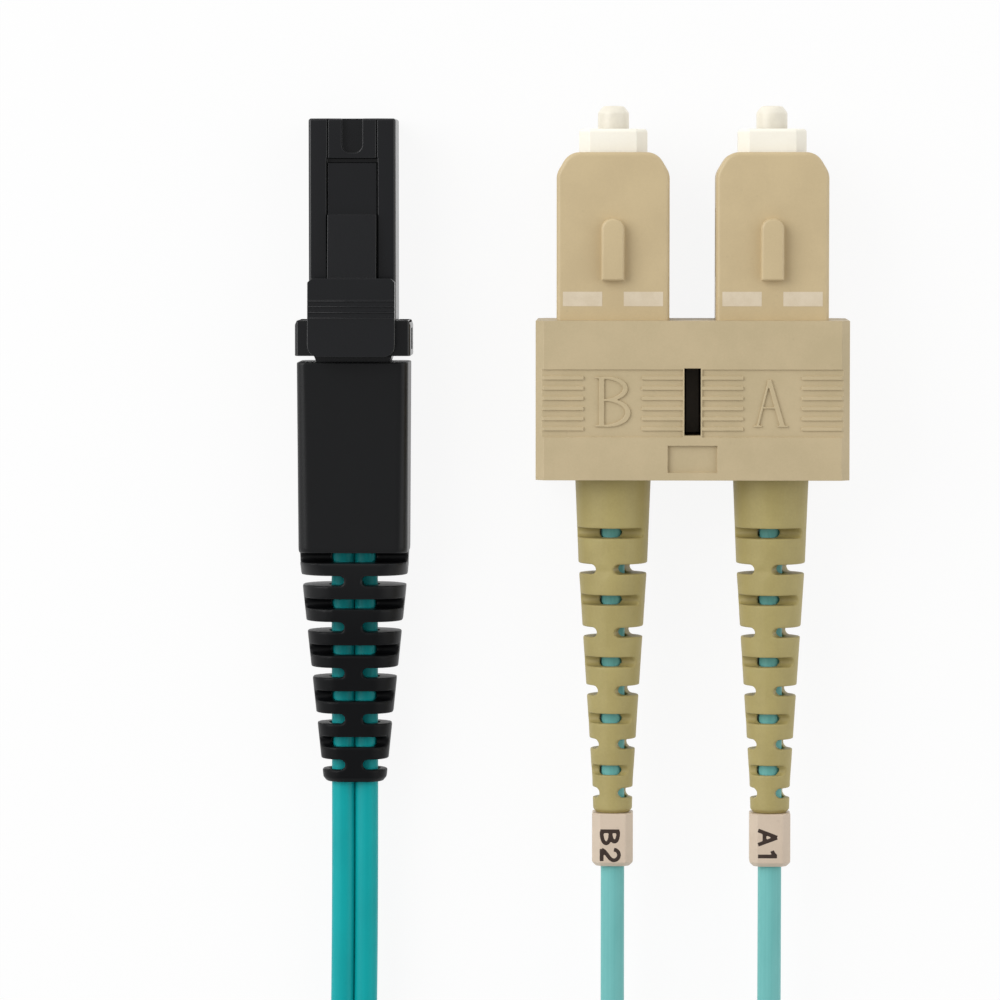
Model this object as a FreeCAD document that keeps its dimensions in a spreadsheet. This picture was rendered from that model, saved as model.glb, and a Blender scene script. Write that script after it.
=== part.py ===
import FreeCAD, Part
import math
import os
import re

import Sketcher
from FreeCAD import Placement, Rotation, Vector

# Duplex fibre patch cord lying on a table: +X right, +Y towards the plug tips, +Z up, millimetres.
# Each piece is drawn with x to the right, y up and z running back from the tip towards the cord.

doc = FreeCAD.newDocument("patch_cord")
sizes = doc.addObject("Spreadsheet::Sheet", "Sizes")

SIZE_LIST = (
    # Push-pull plugs: standard pitch, grip and ferrule
    ("pair_pitch", "12.7"),
    ("grip_width", "9.0"),
    ("grip_height", "7.4"),
    ("grip_length", "24.1"),
    ("grip_side_wall", "0.85"),
    ("grip_top_wall", "0.6"),
    ("nose_bevel", "1.0"),
    ("nose_slope", "1.7"),
    ("nose_round", "1.5"),
    ("grip_edge_round", "0.35"),
    ("key_width", "1.8"),
    ("key_length", "4.9"),
    ("key_height", "0.9"),
    ("key_setback", "5.3"),
    ("key_round", "0.2"),
    ("window_setback", "4.5"),
    ("window_length", "5.5"),
    ("window_height", "2.6"),
    ("mark_setback", "11.15"),
    ("mark_width", "3.05"),
    ("mark_length", "1.07"),
    ("mark_inset", "0.55"),
    ("mark_depth", "0.06"),
    ("frame_reach", "1.87"),
    ("frame_width", "5.45"),
    ("frame_height", "5.5"),
    ("frame_bevel", "0.85"),
    ("frame_round", "0.3"),
    ("shoulder_width", "6.9"),
    ("frame_cavity", "4.6"),
    ("frame_cavity_depth", "6.4"),
    ("frame_partition", "1.4"),
    ("frame_back", "8.0"),
    ("ferrule_diameter", "2.5"),
    ("ferrule_length", "10.5"),
    ("ferrule_reach", "1.85"),
    ("ferrule_step", "0.3"),
    ("ferrule_step_reach", "0.1"),
    ("tip_bevel", "0.38"),
    ("tip_bevel_length", "0.55"),
    ("tip_flat_inset", "0.6"),
    ("tip_dome", "0.05"),
    ("holder_diameter", "4.2"),
    ("holder_length", "2.4"),
    ("holder_tail", "3.0"),
    ("holder_tail_diameter", "2.0"),
    ("holder_room", "0.15"),
    ("fibre_diameter", "0.9"),
    ("fibre_room", "0.05"),
    ("fibre_reach", "2"),
    ("spring_wire", "0.35"),
    ("spring_gap", "0.02"),
    ("spring_coils", "5.5"),
    ("spring_room", "0.45"),
    ("stop_front", "11.5"),
    ("stop_flange", "1.4"),
    ("stop_inset", "0.05"),
    ("barrel_end", "1.0"),
    ("crimp_barrel", "3.4"),
    ("crimp_wall", "0.42"),
    ("crimp_neck", "3.0"),
    ("crimp_step", "0.7"),
    ("crimp_step_end", "0.2"),
    ("close_fit", "0.03"),
    # Strain boots and marker sleeves
    ("boot_diameter", "6.1"),
    ("boot_length", "27.1"),
    ("boot_shoulder", "6.9"),
    ("boot_shoulder_diameter", "5.55"),
    ("boot_tip_diameter", "3.15"),
    ("boot_tip_inset", "0.25"),
    ("boot_tip_bevel", "0.3"),
    ("boot_tip_swell", "0.06"),
    ("boot_tip_back", "2.4"),
    ("boot_entry", "1.4"),
    ("boot_entry_diameter", "5.5"),
    ("boot_rim", "0.2"),
    ("boot_rim_slope", "0.2"),
    ("boot_room", "0.2"),
    ("boot_cone", "0.4"),
    ("boot_turn", "15"),
    ("slot_height", "0.8"),
    ("slot_floor", "0.72"),
    ("slot_first", "4.4"),
    ("slot_pitch", "5.6"),
    ("slot_shrink", "0.2"),
    ("notch_first", "7.3"),
    ("notch_pitch", "5.3"),
    ("notch_shrink", "0.19"),
    ("bore_clearance", "0.15"),
    ("sleeve_width", "3.3"),
    ("sleeve_length", "4.3"),
    ("sleeve_bevel", "0.6"),
    ("sleeve_end_bevel", "0.33"),
    # Duplex clip
    ("clip_length", "12.7"),
    ("clip_side_wall", "1.65"),
    ("clip_top_wall", "1.2"),
    ("clip_rear_wall", "2.0"),
    ("clip_edge", "0.65"),
    ("clip_boot_gap", "0.2"),
    ("clip_slot_width", "1.31"),
    ("clip_slot_length", "5.35"),
    ("clip_slot_back", "3.57"),
    ("clip_slot_rim", "0.12"),
    ("clip_tongue_gap", "0.12"),
    ("clip_tongue_drop", "3.4"),
    ("clip_pad_width", "3.95"),
    ("clip_pad_length", "2.16"),
    ("clip_pad_back", "0.6"),
    ("clip_pad_depth", "0.3"),
    ("rib_pitch", "0.81"),
    ("rib_width", "0.28"),
    ("rib_depth", "0.15"),
    ("rib_band_back", "3.7"),
    ("letter_field", "4.6"),
    ("letter_field_lap", "0.02"),
    ("flank_rib_low", "0.8"),
    # Latch plug
    ("plug_spacing", "27.3"),
    ("plug_tip_drop", "1.0"),
    ("plug_width", "7.0"),
    ("plug_height", "5.6"),
    ("plug_length", "16.2"),
    ("plug_round", "0.22"),
    ("panel_width", "3.93"),
    ("panel_line", "0.1"),
    ("nose_slot_width", "1.67"),
    ("nose_slot_length", "2.76"),
    ("nose_slot_depth", "0.8"),
    ("channel_start", "3.18"),
    ("channel_gap", "0.1"),
    ("channel_depth", "0.75"),
    ("bead_back", "4.05"),
    ("bead_drop", "0.65"),
    ("bead_diameter", "0.9"),
    ("bead_gap", "0.04"),
    ("bead_sink", "0.05"),
    ("beam_reach", "0.5"),
    ("lever_step", "7.7"),
    ("pad_start", "12.8"),
    ("pad_end", "19.06"),
    ("lever_thick", "0.9"),
    ("pad_rise", "2.3"),
    ("pad_front_rise", "1.886"),
    ("beam_drop", "0.16"),
    ("beam_thick", "0.22"),
    ("arm_step", "0.4"),
    ("arm_rise", "1.1"),
    ("arm_lap", "2.5"),
    ("arm_lap_rise", "0.3"),
    ("pad_corner", "0.9"),
    ("pad_front_bevel", "0.315"),
    ("pad_ridge_first", "14.6"),
    ("pad_ridge_pitch", "0.45"),
    ("pad_ridge", "0.2"),
    ("pad_ridge_rise", "0.12"),
    ("pad_ridge_root", "0.2"),
    ("core_width", "4.4"),
    ("core_height", "2.5"),
    ("core_length", "8.0"),
    ("core_inset", "0.35"),
    ("core_shoulder", "6.4"),
    ("core_shoulder_out", "0.4"),
    ("core_shoulder_up", "0.3"),
    ("core_room_width", "1.8"),
    ("core_room_rise", "0.35"),
    ("core_room_depth", "4"),
    ("core_gap", "0.08"),
    ("guide_hole", "0.7"),
    ("guide_pitch", "2.6"),
    ("cavity_width", "5.5"),
    ("cavity_height", "3.3"),
    ("latch_spring_room", "0.3"),
    ("latch_spring_coils", "5"),
    ("wing_width", "9.32"),
    ("wing_height", "5.2"),
    ("wing_bevel", "0.35"),
    ("wing_round", "0.3"),
    ("wing_window", "1.7"),
    ("wing_window_height", "2.04"),
    ("wing_window_depth", "0.6"),
    ("insert_length", "2.0"),
    ("insert_root", "0.5"),
    ("neck_width", "6.5"),
    ("neck_taper", "0.3"),
    ("neck_length", "0.49"),
    ("neck_height", "4.4"),
    ("neck_root", "0.3"),
    ("neck_reach", "0.6"),
    ("stem_diameter", "3.2"),
    ("stem_length", "5.5"),
    ("ring_setback", "0.2"),
    ("root_gap", "0.2"),
    ("fibre_window_width", "2.5"),
    ("fibre_window_height", "1.4"),
    ("fibre_spread", "0.99"),
    ("strand_diameter", "0.72"),
    ("strand_reach", "2"),
    ("block_width", "9.0"),
    ("block_height", "6.4"),
    ("block_round", "0.7"),
    ("block_waist", "8.84"),
    ("block_waist_height", "6.208"),
    ("block_waist_round", "0.9"),
    ("block_waist_back", "15.1"),
    ("tail_back", "17.2"),
    ("tail_width", "8.6"),
    ("tail_height", "5.9"),
    ("tail_round", "2.6"),
    ("tail_end_width", "5.15"),
    ("tail_end_height", "3.5"),
    ("tail_end_round", "1.65"),
    ("tail_end_bevel", "0.35"),
    ("tail_end_width_inset", "0.6"),
    ("tail_end_height_inset", "0.5"),
    ("tail_end_round_inset", "0.25"),
    ("boot_hollow_round", "0.1"),
    ("boot_hollow_end", "1"),
    ("tail_boot_length", "34.1"),
    ("rib_slot_first", "15.8"),
    ("rib_slot_pitch", "3.75"),
    ("rib_slot_height", "0.82"),
    ("rib_slot_floor", "0.78"),
    ("rib_notch_first", "17.65"),
    ("rib_web", "1.4"),
    # Cord
    ("jacket", "1.9"),
    ("zip_offset", "0.93"),
    ("leg_gap", "0.04"),
    ("coil_x", "4.0"),
    ("coil_y", "-110.0"),
    ("coil_inner", "17.9"),
    ("coil_outer", "25.5"),
    ("coil_height", "7.8"),
    ("coil_round", "1.8"),
    ("tie_wall", "0.5"),
    ("tie_width", "12"),
    ("tie_angle", "284"),
    # Places that follow from the sizes above, measured from the clip's rear face or the latch plug's tip
    ("grip_front", "=clip_rear_wall + grip_length"),
    ("frame_front", "=grip_front + frame_reach"),
    ("ferrule_tip", "=frame_front + ferrule_reach"),
    ("partition_front", "=frame_front - frame_cavity_depth"),
    ("partition_back", "=partition_front - frame_partition"),
    ("ferrule_end", "=ferrule_tip - ferrule_length"),
    ("holder_back", "=partition_back - holder_length"),
    ("stop_back", "=frame_back - stop_flange"),
    ("boot_bore", "=jacket + 2 * bore_clearance"),
    ("crimp_outer", "=crimp_barrel + 2 * crimp_wall + 2 * close_fit"),
    ("sleeve_end", "=boot_length + sleeve_length"),
    ("clip_half_width", "=(pair_pitch + grip_width) / 2 + clip_side_wall"),
    ("clip_half_height", "=grip_height / 2 + clip_top_wall"),
    ("clip_rear_y", "=(sleeve_end - ferrule_tip) / 2"),
    ("latch_half_width", "=max(wing_width; block_width) / 2"),
    ("clip_x", "=(plug_spacing + latch_half_width - clip_half_width) / 2"),
    ("latch_x", "=clip_x - plug_spacing"),
    ("latch_y", "=clip_rear_y + ferrule_tip - plug_tip_drop"),
    ("latch_z", "=block_height / 2"),
    ("bead_y", "=plug_height / 2 - bead_drop"),
    ("boot_front", "=pad_end + neck_length"),
    ("stem_end", "=boot_front + stem_length"),
    ("boot_back", "=boot_front + tail_boot_length"),
    ("core_end", "=core_inset + core_length"),
    ("insert_front", "=plug_length - insert_length"),
)
for row, (alias, text) in enumerate(SIZE_LIST, 1):
    sizes.set(f"A{row}", alias)
    sizes.set(f"B{row}", text)
    sizes.setAlias(f"B{row}", alias)
doc.recompute()

ALIAS = re.compile(r"\b(" + "|".join(alias for alias, text in SIZE_LIST) + r")\b")


def linked(text):
    return ALIAS.sub(r"Sizes.\1", str(text))


def number(text):
    return float(sizes.evalExpression(str(text)))


def bind(thing, name, text):
    thing.setExpression(name, linked(text))


# Drawing: sketches whose points, centres and radii are bound to the sheet
def new_body(label):
    body = doc.addObject("PartDesign::Body", label)
    body.Label = label
    return body


def new_sketch(body, role, offset="0"):
    plane = next(f for f in body.Origin.OriginFeatures if f.Role == role)
    sketch = body.newObject("Sketcher::SketchObject", f"{body.Label}_sketch")
    sketch.AttachmentSupport = [(plane, "")]
    sketch.MapMode = "FlatFace"
    bind(sketch, "AttachmentOffset.Base.z", offset)
    return sketch


def fix(sketch, kind, text, *places):
    index = sketch.addConstraint(Sketcher.Constraint(kind, *places, number(text)))
    bind(sketch, f"Constraints[{index}]", text)


def fix_point(sketch, piece, end, across, along):
    fix(sketch, "DistanceX", across, -1, 1, piece, end)
    fix(sketch, "DistanceY", along, -1, 1, piece, end)


def polygon(sketch, corners):
    first = sketch.GeometryCount
    count = len(corners)
    points = [Vector(number(across), number(along), 0) for across, along in corners]
    for step in range(count):
        sketch.addGeometry(Part.LineSegment(points[step], points[(step + 1) % count]))
    for step in range(count):
        after = first + (step + 1) % count
        sketch.addConstraint(Sketcher.Constraint("Coincident", first + step, 2, after, 1))
    for step, (across, along) in enumerate(corners):
        fix_point(sketch, first + step, 1, across, along)


def rectangle(sketch, left, right, low, high):
    polygon(sketch, ((left, low), (right, low), (right, high), (left, high)))


def circle(sketch, across, along, diameter):
    centre = Vector(number(across), number(along), 0)
    round_edge = Part.Circle(centre, Vector(0, 0, 1), number(diameter) / 2)
    piece = sketch.addGeometry(round_edge)
    fix_point(sketch, piece, 3, across, along)
    fix(sketch, "Diameter", diameter, piece)


def arc(sketch, centre, radius, start, end):
    whole = Part.Circle(centre, Vector(0, 0, 1), radius)
    return sketch.addGeometry(Part.ArcOfCircle(whole, math.radians(start), math.radians(end)))


def rounded_rectangle(sketch, width, height, radius):
    half_x, half_y, bend = number(width) / 2, number(height) / 2, number(radius)
    in_x, in_y = half_x - bend, half_y - bend
    runs = (
        (Vector(-in_x, -half_y, 0), Vector(in_x, -half_y, 0)),
        (Vector(half_x, -in_y, 0), Vector(half_x, in_y, 0)),
        (Vector(in_x, half_y, 0), Vector(-in_x, half_y, 0)),
        (Vector(-half_x, in_y, 0), Vector(-half_x, -in_y, 0)),
    )
    lines = [sketch.addGeometry(Part.LineSegment(*run)) for run in runs]
    signs = ((1, -1), (1, 1), (-1, 1), (-1, -1))
    bends = [
        arc(sketch, Vector(x * in_x, y * in_y, 0), bend, 270 + 90 * turn, 360 + 90 * turn)
        for turn, (x, y) in enumerate(signs)
    ]
    for turn, (x, y) in enumerate(signs):
        sketch.addConstraint(Sketcher.Constraint("Tangent", lines[turn], 2, bends[turn], 1))
        sketch.addConstraint(Sketcher.Constraint("Tangent", bends[turn], 2, lines[(turn + 1) % 4], 1))
        middle_x = f"{x} * (({width}) / 2 - ({radius}))"
        middle_y = f"{y} * (({height}) / 2 - ({radius}))"
        fix_point(sketch, bends[turn], 3, middle_x, middle_y)
        fix(sketch, "Radius", radius, bends[turn])


def round_slot(sketch, side, floor, reach, centre, height):
    # A slot open on one side, with a half-round floor at the given distance from the axis
    bend = f"(({floor}) + ({height}) / 2) * {side}"
    out = f"({reach}) * {side}"
    low = f"({centre}) - ({height}) / 2"
    high = f"({centre}) + ({height}) / 2"
    places = ((out, low), (bend, low), (bend, high), (out, high))
    corners = [Vector(number(x), number(y), 0) for x, y in places]
    turned = (90, 270) if side > 0 else (-90, 90)
    lower = sketch.addGeometry(Part.LineSegment(corners[0], corners[1]))
    upper = sketch.addGeometry(Part.LineSegment(corners[2], corners[3]))
    mouth = sketch.addGeometry(Part.LineSegment(corners[3], corners[0]))
    middle = Vector(number(bend), number(centre), 0)
    round_end = arc(sketch, middle, number(height) / 2, *turned)
    first, second = (2, 1) if side > 0 else (1, 2)
    sketch.addConstraint(Sketcher.Constraint("Coincident", lower, 2, round_end, first))
    sketch.addConstraint(Sketcher.Constraint("Coincident", upper, 1, round_end, second))
    sketch.addConstraint(Sketcher.Constraint("Coincident", upper, 2, mouth, 1))
    sketch.addConstraint(Sketcher.Constraint("Coincident", mouth, 2, lower, 1))
    fix_point(sketch, lower, 1, out, low)
    fix_point(sketch, lower, 2, bend, low)
    fix_point(sketch, upper, 1, bend, high)
    fix_point(sketch, upper, 2, out, high)
    fix(sketch, "DistanceX", bend, -1, 1, round_end, 3)


def twin_outline(sketch):
    # Two jackets side by side, joined by a thin web
    radius, offset = number("jacket / 2"), number("zip_offset")
    meet = math.degrees(math.acos(offset / radius))
    right = arc(sketch, Vector(offset, 0, 0), radius, meet - 180, 180 - meet)
    left = arc(sketch, Vector(-offset, 0, 0), radius, meet, 360 - meet)
    sketch.addConstraint(Sketcher.Constraint("Coincident", right, 2, left, 1))
    sketch.addConstraint(Sketcher.Constraint("Coincident", left, 2, right, 1))
    fix_point(sketch, right, 3, "zip_offset", "0")
    fix_point(sketch, left, 3, "-zip_offset", "0")
    fix(sketch, "Radius", "jacket / 2", right)
    fix(sketch, "Radius", "jacket / 2", left)


# Making: pads, pockets, turned shapes and rounded edges
def pad(body, sketch, length, both_ways=False, backwards=False):
    feature = body.newObject("PartDesign::Pad", f"{body.Label}_pad")
    feature.Profile = sketch
    feature.SideType = "Symmetric" if both_ways else "One side"
    feature.Reversed = backwards
    bind(feature, "Length", length)
    doc.recompute()
    return feature


def pocket(body, sketch, length="", both_ways=False, backwards=False):
    feature = body.newObject("PartDesign::Pocket", f"{body.Label}_pocket")
    feature.Profile = sketch
    feature.SideType = "Symmetric" if both_ways else "One side"
    feature.Reversed = backwards
    if length:
        bind(feature, "Length", length)
    else:
        feature.Type = "ThroughAll"
    doc.recompute()
    return feature


def turned(label, corners):
    # A turned piece from corners of (distance from the axis, distance back)
    body = new_body(label)
    sketch = new_sketch(body, "XZ_Plane")
    polygon(sketch, corners)
    feature = body.newObject("PartDesign::Revolution", f"{label}_turn")
    feature.Profile = sketch
    feature.ReferenceAxis = (sketch, ["V_Axis"])
    feature.Angle = 360
    doc.recompute()
    return body


def edges_where(shape, test):
    return [f"Edge{index}" for index, edge in enumerate(shape.Edges, 1) if test(edge, edge.BoundBox)]


def same(one, other):
    return abs(one - other) < 1e-5


def dress(body, kind, size, text, test):
    feature = body.newObject(f"PartDesign::{kind}", f"{body.Label}_{kind.lower()}")
    base = feature.BaseFeature
    feature.Base = (base, edges_where(base.Shape, test))
    bind(feature, size, text)
    doc.recompute()
    return feature


def round_edges(body, radius, test):
    dress(body, "Fillet", "Radius", radius, test)


def bevel_edges(body, length, test):
    dress(body, "Chamfer", "Size", length, test)


def along_y(edge, box):
    return box.XLength < 1e-5 and box.ZLength < 1e-5


def along_z(edge, box):
    return box.XLength < 1e-5 and box.YLength < 1e-5


def place(piece, x, y, z, turn=0):
    lying = Rotation(Vector(1, 0, 0), 90)
    piece.Placement = Placement(Vector(), lying.multiply(Rotation(Vector(0, 0, 1), turn)))
    for axis, text in zip("xyz", (x, y, z)):
        bind(piece, f"Placement.Base.{axis}", text)


PIECES = []


def keep(piece, x, y, z, turn=0):
    place(piece, x, y, z, turn)
    PIECES.append(piece)


def coil_spring(label, radius, front, back, turns):
    # A round wire wound along z between two faces
    height = f"(({back}) - ({front}) - spring_wire - 2 * spring_gap)"
    helix = doc.addObject("Part::Helix", f"{label}_line")
    bind(helix, "Radius", radius)
    bind(helix, "Height", height)
    bind(helix, "Pitch", f"{height} / ({turns})")
    section = doc.addObject("Part::Circle", f"{label}_wire")
    section.Placement = Placement(Vector(), Rotation(Vector(1, 0, 0), 90))
    bind(section, "Radius", "spring_wire / 2")
    bind(section, "Placement.Base.x", radius)
    spring = doc.addObject("Part::Sweep", label)
    spring.Label = label
    spring.Sections = [section]
    spring.Spine = (helix, [])
    spring.Solid = True
    spring.Frenet = True
    doc.recompute()
    return spring


# Grip housing: a square tube with a bevelled nose, a key on top and a window in each side
def grip_housing(label):
    body = new_body(label)
    plan = new_sketch(body, "XZ_Plane")
    polygon(
        plan,
        (
            ("-grip_width / 2", "-clip_rear_wall"),
            ("grip_width / 2", "-clip_rear_wall"),
            ("grip_width / 2", "-grip_front + nose_slope"),
            ("grip_width / 2 - nose_bevel", "-grip_front"),
            ("-grip_width / 2 + nose_bevel", "-grip_front"),
            ("-grip_width / 2", "-grip_front + nose_slope"),
        ),
    )
    pad(body, plan, "grip_height", both_ways=True)
    rear = number("-clip_rear_wall")
    side = number("grip_height / 2")
    round_edges(body, "nose_round", lambda e, b: along_y(e, b) and not same(b.ZMax, rear))
    round_edges(
        body,
        "grip_edge_round",
        lambda e, b: same(abs(b.YMin), side) and same(b.YLength, 0) and b.ZMin < rear - 0.1,
    )
    tunnel = new_sketch(body, "XY_Plane")
    rectangle(
        tunnel,
        "-grip_width / 2 + grip_side_wall",
        "grip_width / 2 - grip_side_wall",
        "-grip_height / 2 + grip_top_wall",
        "grip_height / 2 - grip_top_wall",
    )
    pocket(body, tunnel)
    window = new_sketch(body, "YZ_Plane")
    rectangle(
        window,
        "-window_height / 2",
        "window_height / 2",
        "-grip_front + window_setback",
        "-grip_front + window_setback + window_length",
    )
    pocket(body, window, "2 * grip_width", both_ways=True)
    key = new_sketch(body, "XZ_Plane", "-grip_height / 2 + grip_top_wall / 2")
    rectangle(
        key,
        "-key_width / 2",
        "key_width / 2",
        "-grip_front + key_setback",
        "-grip_front + key_setback + key_length",
    )
    pad(body, key, "key_height + grip_top_wall / 2", backwards=True)
    top = number("grip_height / 2 + key_height")
    front = number("-grip_front + key_setback")
    round_edges(
        body, "key_width * 0.46", lambda e, b: along_y(e, b) and same(b.YMax, top) and same(b.ZMax, front)
    )
    round_edges(body, "key_round", lambda e, b: same(b.YMin, top) and same(b.YMax, top))
    marks = new_sketch(body, "XZ_Plane", "-grip_height / 2")
    for side in (-1, 1):
        near = f"{side} * (grip_width / 2 - mark_inset)"
        far = f"{side} * (grip_width / 2 - mark_inset - mark_width)"
        rectangle(marks, near, far, "-grip_front + mark_setback", "-grip_front + mark_setback + mark_length")
    pocket(body, marks, "mark_depth", backwards=True)
    return body


# Seating marks: two thin pale inlays that fill the shallow fields on top of the grip housing
def seating_marks(label):
    inlays = []
    for side in (-1, 1):
        inlay = doc.addObject("Part::Box", f"{label}_inlay")
        bind(inlay, "Length", "mark_width")
        bind(inlay, "Width", "mark_depth")
        bind(inlay, "Height", "mark_length")
        left = f"{side} * (grip_width / 2 - mark_inset - mark_width / 2) - mark_width / 2"
        bind(inlay, "Placement.Base.x", left)
        bind(inlay, "Placement.Base.y", "grip_height / 2 - mark_depth")
        bind(inlay, "Placement.Base.z", "-grip_front + mark_setback")
        inlays.append(inlay)
    group = doc.addObject("Part::Compound", label)
    group.Label = label
    group.Links = inlays
    doc.recompute()
    return group


# Plug frame: bevelled square front, wider shoulders behind, a round hollow for the mating sleeve
def plug_frame(label):
    body = new_body(label)
    front = new_sketch(body, "XY_Plane", "-frame_front")
    half_x, half_y = "frame_width / 2", "frame_height / 2"
    polygon(
        front,
        [
            (f"{x} * ({half_x} - {a} * frame_bevel)", f"{y} * ({half_y} - {1 - a} * frame_bevel)")
            for x, y, a in (
                (1, -1, 0), (1, 1, 0), (1, 1, 1), (-1, 1, 1),
                (-1, 1, 0), (-1, -1, 0), (-1, -1, 1), (1, -1, 1),
            )
        ],
    )
    pad(body, front, "frame_front - frame_back")
    edge = number("-frame_front")
    round_edges(body, "frame_round", lambda e, b: same(b.ZMin, edge) and same(b.ZMax, edge))
    shoulder = new_sketch(body, "XY_Plane", "-partition_back")
    rectangle(shoulder, "-shoulder_width / 2", "shoulder_width / 2", "-frame_height / 2", "frame_height / 2")
    pad(body, shoulder, "partition_back - frame_back")
    wide, start = number("shoulder_width / 2"), number("-partition_back")
    bevel_edges(
        body,
        "frame_round * 2",
        lambda e, b: same(abs(b.XMin), wide) and along_y(e, b) and same(b.ZMin, start),
    )
    hollow = new_sketch(body, "XY_Plane", "-frame_front")
    circle(hollow, "0", "0", "frame_cavity")
    pocket(body, hollow, "frame_cavity_depth", backwards=True)
    guide = new_sketch(body, "XY_Plane", "-frame_front")
    circle(guide, "0", "0", "ferrule_diameter + 2 * close_fit")
    pocket(body, guide, backwards=True)
    rear = new_sketch(body, "XY_Plane", "-frame_back")
    circle(rear, "0", "0", "holder_diameter + 2 * holder_room")
    pocket(body, rear, "partition_back - frame_back")
    return body


# Ribs in each finger band of the clip
RIB_COUNT = 7


# Duplex clip half: a block with two open pockets for the grips, ribbed finger bands and a rear wall
def clip_half(label, upper):
    body = new_body(label)
    block = new_sketch(body, "XY_Plane", "-clip_length")
    rectangle(block, "-clip_half_width", "clip_half_width", "0", "clip_half_height")
    pad(body, block, "clip_length")
    edge, top = number("clip_half_width"), number("clip_half_height")
    bevel_edges(
        body,
        "clip_edge",
        lambda e, b: along_z(e, b) and same(abs(b.XMin), edge) and same(b.YMin, top),
    )
    pockets = new_sketch(body, "XY_Plane", "-clip_length")
    openings = new_sketch(body, "XY_Plane", "-clip_length")
    for side in (-1, 1):
        axis = f"{side} * pair_pitch / 2"
        rectangle(pockets, f"{axis} - grip_width / 2", f"{axis} + grip_width / 2", "-1", "grip_height / 2")
        circle(openings, axis, "0", "boot_diameter + 2 * clip_boot_gap")
    pocket(body, pockets, "clip_length - clip_rear_wall", backwards=True)
    pocket(body, openings, backwards=True)
    if upper:
        slot = new_sketch(body, "XZ_Plane")
        rectangle(
            slot,
            "-clip_slot_width / 2",
            "clip_slot_width / 2",
            "-clip_slot_back - clip_slot_length",
            "-clip_slot_back",
        )
        pocket(body, slot)
    else:
        tongue = new_sketch(body, "XZ_Plane", "-clip_half_height / 2")
        rectangle(
            tongue,
            "-clip_slot_width / 2 + clip_tongue_gap",
            "clip_slot_width / 2 - clip_tongue_gap",
            "-clip_slot_back - clip_slot_length + clip_tongue_gap",
            "-clip_slot_back - clip_tongue_gap",
        )
        pad(body, tongue, "clip_half_height * 1.5 - clip_tongue_drop")
    mould_mark = new_sketch(body, "XZ_Plane", "-clip_half_height")
    rectangle(
        mould_mark,
        "-clip_pad_width / 2",
        "clip_pad_width / 2",
        "-clip_pad_back - clip_pad_length",
        "-clip_pad_back",
    )
    pocket(body, mould_mark, "clip_pad_depth", backwards=True)
    grooves = new_sketch(body, "XZ_Plane", "-clip_half_height")
    letter_in = "pair_pitch / 2 - letter_field / 2"
    letter_out = "pair_pitch / 2 + letter_field / 2"
    band_low = f"-rib_band_back - {RIB_COUNT - 1} * rib_pitch - (rib_pitch - rib_width) / 2"
    slot_edge = "clip_slot_width / 2 + clip_slot_rim"
    for step in range(RIB_COUNT):
        high = f"-rib_band_back - {step} * rib_pitch + (rib_pitch - rib_width) / 2"
        low = f"-rib_band_back - {step} * rib_pitch - (rib_pitch - rib_width) / 2"
        for near, far in (
            ("-clip_half_width - 1", f"-({letter_out})"),
            (f"-({letter_in})", f"-({slot_edge})"),
            (slot_edge, letter_in),
            (letter_out, "clip_half_width + 1"),
        ):
            rectangle(grooves, near, far, low, high)
    pocket(body, grooves, "rib_depth", backwards=True)
    fields = new_sketch(body, "XZ_Plane", "-clip_half_height")
    for side in (-1, 1):
        near = f"{side} * ({letter_in} - letter_field_lap)"
        far = f"{side} * ({letter_out} + letter_field_lap)"
        rectangle(
            fields,
            near,
            far,
            band_low,
            "-rib_band_back + (rib_pitch - rib_width) / 2",
        )
    pocket(body, fields, "rib_depth", backwards=True)
    flanks = new_sketch(body, "XY_Plane", band_low)
    for side in (-1, 1):
        outer = f"{side} * (clip_half_width + 1)"
        inner = f"{side} * (clip_half_width - rib_depth)"
        polygon(
            flanks,
            (
                (outer, "flank_rib_low"),
                (outer, "clip_half_height - clip_edge - rib_depth / 2"),
                (inner, "clip_half_height - clip_edge - rib_depth / 2"),
                (inner, "flank_rib_low"),
            ),
        )
    groove = pocket(body, flanks, "rib_pitch - rib_width", backwards=True)
    row = body.newObject("PartDesign::LinearPattern", f"{label}_row")
    row.Originals = [groove]
    z_axis = next(f for f in body.Origin.OriginFeatures if f.Role == "Z_Axis")
    row.Direction = (z_axis, [""])
    row.Occurrences = RIB_COUNT
    bind(row, "Length", f"{RIB_COUNT - 1} * rib_pitch")
    body.Tip = row
    doc.recompute()
    return body


# Strain boot: a tapered sleeve cut by alternating slots, so that the jacket shows inside
def strain_boot(label):
    body = turned(
        label,
        (
            ("boot_bore / 2", "boot_length"),
            ("boot_tip_diameter / 2 - boot_tip_inset", "boot_length"),
            ("boot_tip_diameter / 2", "boot_length - boot_tip_bevel"),
            ("boot_tip_diameter / 2 + boot_tip_swell", "boot_length - boot_tip_back"),
            ("boot_shoulder_diameter / 2", "boot_shoulder"),
            ("boot_diameter / 2", "0"),
            ("boot_diameter / 2", "-boot_rim"),
            ("boot_entry_diameter / 2", "-boot_rim - boot_rim_slope"),
            ("boot_entry_diameter / 2", "-boot_entry"),
            ("crimp_outer / 2 + close_fit", "-boot_entry"),
            ("crimp_outer / 2 + close_fit", "crimp_neck + boot_room"),
            ("boot_bore / 2", "crimp_neck + boot_room + boot_cone"),
        ),
    )
    for plane, first, pitch, shrink in (
        ("YZ_Plane", "slot_first", "slot_pitch", "slot_shrink"),
        ("XZ_Plane", "notch_first", "notch_pitch", "notch_shrink"),
    ):
        slots = new_sketch(body, plane)
        for step in range(5):
            centre = f"{first} + {step} * {pitch} - {step * step} * {shrink}"
            for side in (-1, 1):
                round_slot(slots, side, "slot_floor", "boot_diameter", centre, "slot_height")
        pocket(body, slots, "3 * boot_diameter", both_ways=True)
    return body


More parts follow.
